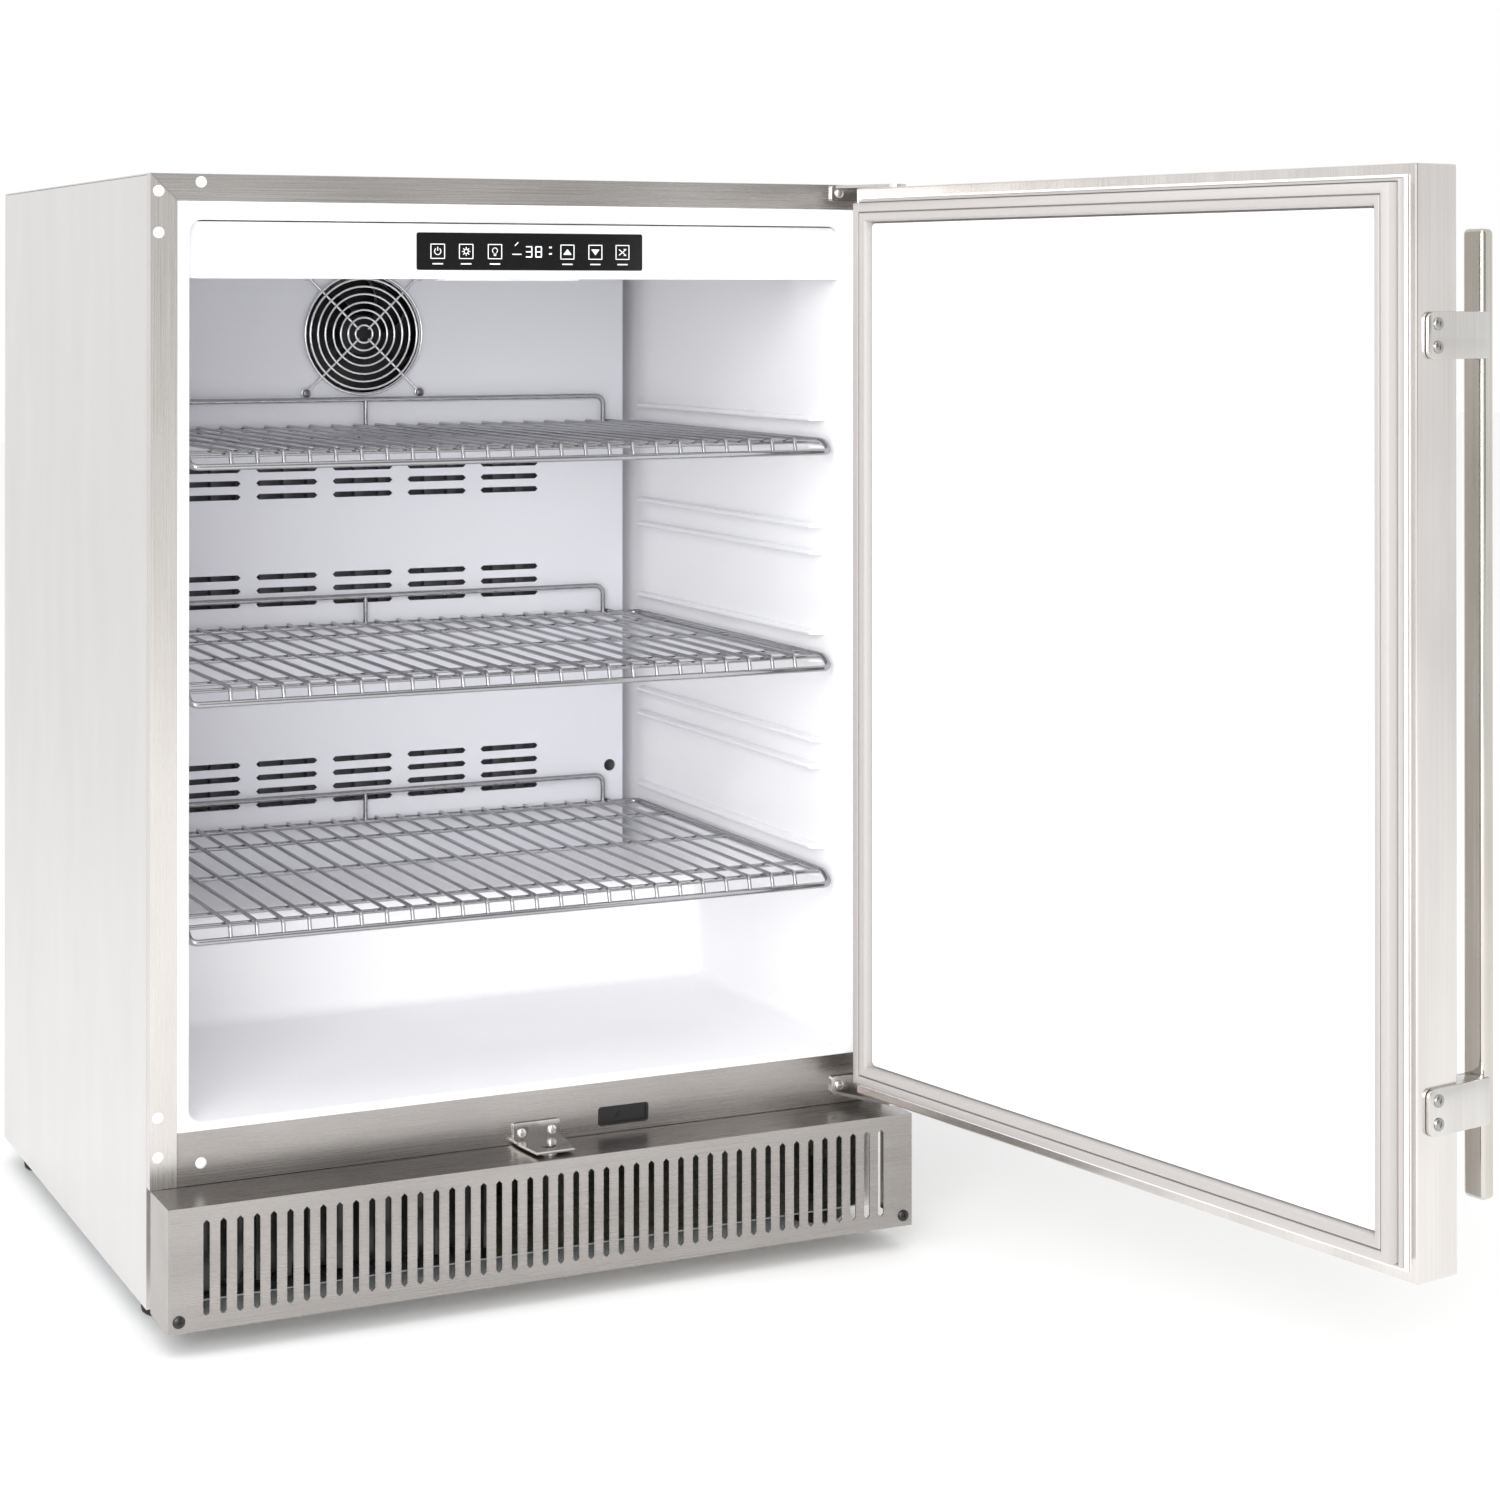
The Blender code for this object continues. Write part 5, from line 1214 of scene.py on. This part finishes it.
@dataclass
class FanRotor:
    """An axial rotor: a domed hub with wide swept blades that overlap when seen from the front."""

    node: str
    blades: int = 7
    sweep: float = math.radians(28)
    share: float = 1.12
    hub_share: float = 0.38
    twist: float = 1.35
    camber: float = 0.10
    blade_thickness: float = 1.1 * MM

    def __post_init__(self) -> None:
        """Measure the rotor's CAD node."""
        low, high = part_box(self.node)
        self.centre = (low + high) / 2
        self.tip = (high.x - low.x) / 2
        self.half = (high.y - low.y) / 2
        self.hub = self.tip * self.hub_share

    def build(self) -> None:
        """Spin the hub, sweep the blades round it and hang the rotor on its own body."""
        shape = bmesh.new()
        face = self.half * 0.92
        profile = [(0.0, face), (self.hub * 0.80, face), (self.hub * 0.95, face * 0.90)]
        profile += [(self.hub, face * 0.70), (self.hub, -face), (0.0, -face)]
        turn(shape, profile, self.centre, FORWARD, 40)
        for index in range(self.blades):
            self.blade(shape, math.tau * index / self.blades)
        mount(settle(shape, f"{self.node}_swept", FAN_PLASTIC, 40.0), self.node, self.node, self.node)

    def blade(self, shape: bmesh.types.BMesh, start: float) -> None:
        """Bend a grid into one blade and thicken it.

        Args:
            shape: The bmesh to add to.
            start: The angle that the blade's root leaves from.
        """
        made = bmesh.ops.create_grid(shape, x_segments=7, y_segments=8, size=0.5)["verts"]
        chord = math.tau / self.blades * self.share
        for vertex in made:
            out, along = vertex.co.x + 0.5, vertex.co.y + 0.5
            radius = self.hub * 0.97 + (self.tip * 0.985 - self.hub * 0.97) * out
            angle = start + self.sweep * out**1.5 + chord * along * (1.0 - 0.12 * out)
            bulge = self.camber * math.sin(math.pi * along)
            rise = self.half * ((0.5 - along) * self.twist * (1.0 - 0.25 * out) + bulge)
            across = Vector((radius * math.cos(angle), rise, radius * math.sin(angle)))
            vertex.co = self.centre + across
        faces = list({face for vertex in made for face in vertex.link_faces})
        bmesh.ops.solidify(shape, geom=faces, thickness=self.blade_thickness)


# ---------------------------------------------------------------- control panel print
class Sign(Enum):
    """The pictures on the touch keys."""

    POWER = "power"
    SET = "set"
    LAMP = "lamp"
    UP = "up"
    DOWN = "down"
    SELECT = "select"


@dataclass
class PanelPrint:
    """Key frames, their plain pictures and a two-figure display behind the acrylic, in millimetres."""

    stroke: float = 0.6
    key: float = 11.0
    lift: float = 0.25
    thickness: float = 0.3
    keys: tuple[tuple[float, Sign], ...] = (
        (16.5, Sign.POWER),
        (39.5, Sign.SET),
        (63.0, Sign.LAMP),
        (123.0, Sign.UP),
        (146.5, Sign.DOWN),
        (169.5, Sign.SELECT),
    )
    figures: tuple[tuple[float, str], ...] = ((91.0, "ABCDG"), (99.0, "ABCDEFG"))

    def __post_init__(self) -> None:
        """Find the middle of the panel's left edge, and start the print."""
        low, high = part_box("control_panel")
        self.corner = Vector((low.x, low.y - self.lift * MM, (low.z + high.z) / 2))
        self.shape = bmesh.new()

    def build(self) -> None:
        """Lay the print and the lit figures on the panel's face."""
        half = self.key / 2
        for across, sign in self.keys:
            for side in (-half, half):
                self.bar(across, (-half, side, half, side), self.stroke)
                self.bar(across, (side, -half, side, half), self.stroke)
            self.picture(across, sign)
            # A short bar stands where a key's word would be.
            self.bar(across, (-4.0, -9.6, 4.0, -9.6), 0.9)
        for up in (3.5, -1.5):
            self.bar(108.0, (0.0, up, 1.6, up), 1.2)
        self.bar(79.5, (0.0, 4.8, 2.5, 7.2), 0.7)
        self.bar(77.5, (0.0, -2.0, 7.0, -2.0), 0.8)
        # The print's material carries a painted glow.
        mount(settle(self.shape, "control_panel_print", PRINT_PAINTED_GLOW, 30.0), "cabinet", "plug_top")
        self.shape = bmesh.new()
        for across, lit in self.figures:
            self.figure(across, lit)
        mount(settle(self.shape, "control_panel_digits", DIGIT, 30.0), "cabinet", "lamp_lens")

    def bar(self, across: float, ends: tuple[float, float, float, float], width: float) -> None:
        """Draw a straight stroke on the panel.

        Args:
            across: How far from the panel's left edge the stroke's own zero is.
            ends: Its two ends, each as a distance across and up.
            width: Its width.
        """
        x0, up0, x1, up1 = ends
        run = Vector((x1 - x0, 0, up1 - up0)) * MM
        size = (run.length + width * MM / 2, self.thickness * MM, width * MM, 1.0)
        centre = self.corner + Vector((across + (x0 + x1) / 2, 0, (up0 + up1) / 2)) * MM
        turned = Matrix.Rotation(-math.atan2(run.z, run.x), 4, "Y")
        matrix = Matrix.Translation(centre) @ turned @ Matrix.Diagonal(size)
        bmesh.ops.create_cube(self.shape, size=1.0, matrix=matrix)

    def arc(self, across: float, up: float, radius: float, start: float, end: float) -> None:
        """Draw part of a circle as short strokes.

        Args:
            across: The centre, from the panel's left edge.
            up: The centre, up.
            radius: The circle's radius.
            start: The first angle, in degrees.
            end: The last angle.
        """
        steps = max(4, int(abs(end - start) / 30))
        angles = [math.radians(start + (end - start) * i / steps) for i in range(steps + 1)]
        spots = [(radius * math.cos(a), up + radius * math.sin(a)) for a in angles]
        for here, there in zip(spots, spots[1:]):
            self.bar(across, (*here, *there), self.stroke)

    def picture(self, across: float, sign: Sign) -> None:
        """Draw the picture inside a key.

        Args:
            across: The key's centre, from the panel's left edge.
            sign: Which picture it gets.
        """
        strokes: list[tuple[float, float, float, float]] = []
        width = self.stroke
        if sign is Sign.POWER:
            self.arc(across, 0.0, 2.6, 130, 410)
            strokes = [(0.0, 0.6, 0.0, 3.2)]
        elif sign is Sign.SET:
            self.arc(across, 0.0, 1.7, 0, 360)
            spokes = [(math.cos(math.tau * i / 8), math.sin(math.tau * i / 8)) for i in range(8)]
            strokes = [(2.3 * c, 2.3 * s, 3.2 * c, 3.2 * s) for c, s in spokes]
        elif sign is Sign.LAMP:
            self.arc(across, 0.8, 2.1, -50, 230)
            strokes = [(-1.1, -1.9, 1.1, -1.9), (-0.8, -3.0, 0.8, -3.0)]
        elif sign is Sign.SELECT:
            strokes = [(-2.8, -2.2, 2.8, 2.2), (-2.8, 2.2, 2.8, -2.2)]
            strokes += [(1.2, up, 3.0, up) for up in (2.4, -2.4)]
        else:
            way = 1 if sign is Sign.UP else -1
            rows = [(3.0 - 0.55 * row, way * (-1.8 + 0.7 * row)) for row in range(6)]
            strokes = [(-half, up, half, up) for half, up in rows]
            width = 0.72
        for ends in strokes:
            self.bar(across, ends, width)

    def figure(self, across: float, lit: str) -> None:
        """Draw one seven-bar figure.

        Args:
            across: The figure's centre, from the panel's left edge.
            lit: The letters of the bars that are lit.
        """
        half, tall, gap = 2.3, 4.0, 0.4
        bars = {
            "A": (-half, tall, half, tall),
            "B": (half, gap, half, tall - gap),
            "C": (half, gap - tall, half, -gap),
            "D": (-half, -tall, half, -tall),
            "E": (-half, gap - tall, -half, -gap),
            "F": (-half, gap, -half, tall - gap),
            "G": (-half, 0.0, half, 0.0),
        }
        for letter in lit:
            self.bar(across, bars[letter], 0.8)


# ---------------------------------------------------------------- feet
@dataclass
class LevellingFoot:
    """A levelling foot: a flared rubber pad under a collar and a threaded stud."""

    node: str
    pad: float = 23.5 * MM
    stud: float = 4.0 * MM

    def build(self) -> None:
        """Spin the foot's outline and put it on the foot's own body."""
        low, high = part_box(self.node)
        centre = Vector(((low.x + high.x) / 2, (low.y + high.y) / 2, low.z))
        tall = high.z - low.z
        outline = [(0.0, tall), (self.stud - 0.5 * MM, tall), (self.stud, tall - 0.5 * MM)]
        height = tall - 1.5 * MM
        while height > 18.0 * MM:
            # The real thread is finer; it is drawn coarser, so that its ridges show.
            outline += [(self.stud, height), (self.stud - 0.5 * MM, height - 0.6 * MM)]
            height -= 1.2 * MM
        outline += [(self.stud, 17.5 * MM), (9.0 * MM, 17.2 * MM), (10.0 * MM, 12.5 * MM)]
        outline += [(self.pad - 5.0 * MM, 11.0 * MM), (self.pad - 1.5 * MM, 8.0 * MM)]
        outline += [(self.pad, 4.0 * MM), (self.pad - 0.6 * MM, 1.0 * MM)]
        outline += [(self.pad - 2.0 * MM, 0.0), (0.0, 0.0)]
        shape = bmesh.new()
        turn(shape, outline, centre, Vector((0, 0, 1)), 36)
        foot = settle(shape, f"{self.node}_pad", FOOT_RUBBER, 40.0)
        mount(foot, self.node, self.node, self.node)


# ---------------------------------------------------------------- small fixings
@dataclass
class Fixings:
    """Screws in the strike, the hinge flanges and the grille, and the hole plugs."""

    strike_pitch: float = 25.0 * MM
    strike_plate: float = 2.0 * MM
    strike_screw_drop: float = 7.7 * MM
    strike_screw: float = 3.7 * MM
    hinge_plate: float = 2.5 * MM
    hinge_screw_inset: float = 6.5 * MM
    hinge_screw: float = 3.9 * MM
    flange_rise: float = 14.5 * MM
    top_flange: float = 12.9 * MM
    grille_screw: float = 4.6 * MM
    grille_screw_rise: float = 2.4 * MM
    plug_rise: float = 2.2 * MM

    def build(self) -> None:
        """Place every visible fixing from the node it holds."""
        self.flange_screws()
        self.grille_screws()
        self.plugs()

    def flange_screws(self) -> None:
        """Screw the strike and the two hinge flanges to the frame."""
        low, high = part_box("strike_bracket")
        face = high.y - self.strike_plate
        for side in (-1, 1):
            across = (low.x + high.x) / 2 + side * self.strike_pitch / 2
            spot = Vector((across, face, high.z - self.strike_screw_drop))
            self.screw(f"strike_screw_{side + 1}", spot, self.strike_screw, "strike_bracket")
        for node in HINGE_BRACKETS:
            low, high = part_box(node)
            at_top = node.endswith("top")
            flange_high = high.z if at_top else low.z + self.flange_rise
            flange_low = flange_high - (self.top_flange if at_top else self.flange_rise)
            middle = (flange_high + flange_low) / 2
            spot = Vector((low.x + self.hinge_screw_inset, high.y - self.hinge_plate, middle))
            self.screw(f"{node}_screw", spot, self.hinge_screw, node)

    def grille_screws(self) -> None:
        """Replace the grille's black screws with cross-headed ones."""
        rise = self.grille_screw_rise
        for node in KICK_SCREWS:
            low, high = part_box(node)
            spot = Vector(((low.x + high.x) / 2, low.y + rise, (low.z + high.z) / 2))
            piece = CrossScrew(spot, FORWARD, self.grille_screw, rise, BLACK_SCREW).build(f"{node}_head")
            mount(piece, "cabinet", node, node)

    def plugs(self) -> None:
        """Replace the faceted hole plugs with smooth domes."""
        rise = self.plug_rise
        for node in PLUGS:
            low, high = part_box(node)
            centre = Vector(((low.x + high.x) / 2, low.y + rise, (low.z + high.z) / 2))
            radius = (high.x - low.x) / 2
            angles = [math.radians(degrees) for degrees in range(0, 90, 11)]
            dome = [(radius * math.sin(a), rise * math.cos(a)) for a in angles]
            dome += [(radius, 0.1 * MM), (0.0, 0.1 * MM)]
            shape = bmesh.new()
            turn(shape, dome, centre, FORWARD, 28)
            mount(settle(shape, f"{node}_dome", PLUG_WHITE), "cabinet", node, node)

    @staticmethod
    def screw(name: str, spot: Vector, radius: float, slot: str) -> None:
        """Build one plated screw that faces forward, and hang it on the cabinet."""
        mount(CrossScrew(spot, FORWARD, radius, radius * 0.55).build(name), "cabinet", slot)


# ---------------------------------------------------------------- stage
@dataclass
class Studio:
    """A pale floor, soft lamps and the camera."""

    lens: float = 73.99
    shift: tuple[float, float] = (-0.0508, -0.3104)
    yaw: float = -26.0855
    tilt: float = 90.21
    stand: tuple[float, float, float] = (-0.5470, -2.2401, 0.7612)
    card_heading: tuple[float, float, float] = (0.42, -0.9075, 0.0)
    card_edge: tuple[float, float] = (0.940, 0.990)
    card_level: float = 0.36

    def build(self) -> None:
        """Set the camera from the cabinet's own corner, then the floor, the sky and the lamps."""
        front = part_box("frame_bottom")[0].y
        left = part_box("kick_grille")[0].x - 0.3 * MM
        camera_data = bpy.data.cameras.new("camera")
        camera_data.lens = self.lens
        camera_data.shift_x, camera_data.shift_y = self.shift
        camera = bpy.data.objects.new("camera", camera_data)
        camera.location = Vector((left, front, 0.0)) + Vector(self.stand)
        camera.rotation_euler = (math.radians(self.tilt), 0.0, math.radians(self.yaw))
        bpy.context.scene.collection.objects.link(camera)
        bpy.context.scene.camera = camera
        self.floor()
        self.sky()
        self.lamp("lamp_over", (-0.4, -1.6, 3.2), (0.1, 0.1, 0.5), 2.6, 20.0)
        self.lamp("lamp_left", (-3.0, -0.6, 1.6), (0.0, 0.2, 0.5), 2.2, 8.0)
        self.lamp("lamp_front", (-1.9, -3.1, 1.35), (-0.05, 0.3, 0.45), 2.2, 94.0)
        # White goods need a plain transfer curve, which keeps their whites white.
        bpy.context.scene.view_settings.view_transform = "Standard"

    @staticmethod
    def floor() -> None:
        """Lay a wide pale floor."""
        shape = bmesh.new()
        bmesh.ops.create_grid(shape, x_segments=1, y_segments=1, size=14.0)
        paper = Moulded("studio_floor", "#FFFFFF", 0.9, 40.0, 0.0)
        floor = settle(shape, "floor", paper)

    def sky(self) -> None:
        """Light the scene from a soft white surround that is greyer on the camera's side."""
        world = bpy.data.worlds.new("surround")
        world.use_nodes = True
        bpy.context.scene.world = world
        tree = world.node_tree
        background = next(n for n in tree.nodes if n.type == "BACKGROUND")
        coordinates = add_node(tree, "ShaderNodeTexCoord")
        spot = coordinates.outputs["Generated"]
        kind = "ShaderNodeVectorMath"
        level = add_node(tree, kind, {"operation": "MULTIPLY"}, {0: spot, 1: (1.0, 1.0, 0.0)})
        heading = add_node(tree, kind, {"operation": "NORMALIZE"}, {0: level.outputs[0]})
        towards = {0: heading.outputs[0], 1: self.card_heading}
        facing = add_node(tree, kind, {"operation": "DOT_PRODUCT"}, towards)
        # A grey upright card stands beside the camera, and the front steel mirrors it.
        lean = add_node(
            tree,
            "ShaderNodeMapRange",
            {"interpolation_type": "SMOOTHSTEP"},
            {
                "Value": facing.outputs["Value"],
                "From Min": self.card_edge[0],
                "From Max": self.card_edge[1],
                "To Min": 1.0,
                "To Max": self.card_level,
            },
        )
        background.inputs["Color"].default_value = (1.0, 1.0, 1.0, 1.0)
        tree.links.new(lean.outputs["Result"], background.inputs["Strength"])

    @staticmethod
    def lamp(
        name: str,
        place: tuple[float, float, float],
        aim: tuple[float, float, float],
        size: float,
        power: float,
    ) -> None:
        """Hang a square soft lamp.

        Args:
            name: The lamp's name.
            place: Where it hangs.
            aim: The point it faces.
            size: The side of its square.
            power: Its power in watts.
        """
        data = bpy.data.lights.new(name, "AREA")
        data.energy = power
        data.size = size
        lamp = bpy.data.objects.new(name, data)
        lamp.location = place
        lamp.rotation_euler = (Vector(aim) - Vector(place)).to_track_quat("-Z", "Y").to_euler()
        bpy.context.scene.collection.objects.link(lamp)


def main() -> None:
    """Dress the CAD nodes, build each fine piece and set the stage."""
    logging.basicConfig(level=logging.INFO, format="%(name)s: %(message)s")
    dress_nodes()
    Cavity().build()
    for node in SHELVES:
        WireShelf(node).build()
    FanGuard().build()
    for node in FAN_ROTORS:
        FanRotor(node).build()
    PanelPrint().build()
    Fixings().build()
    for node in FEET:
        LevellingFoot(node).build()
    DoorSeal().build()
    Handle().build()
    Studio().build()


if __name__ == "__main__":
    main()
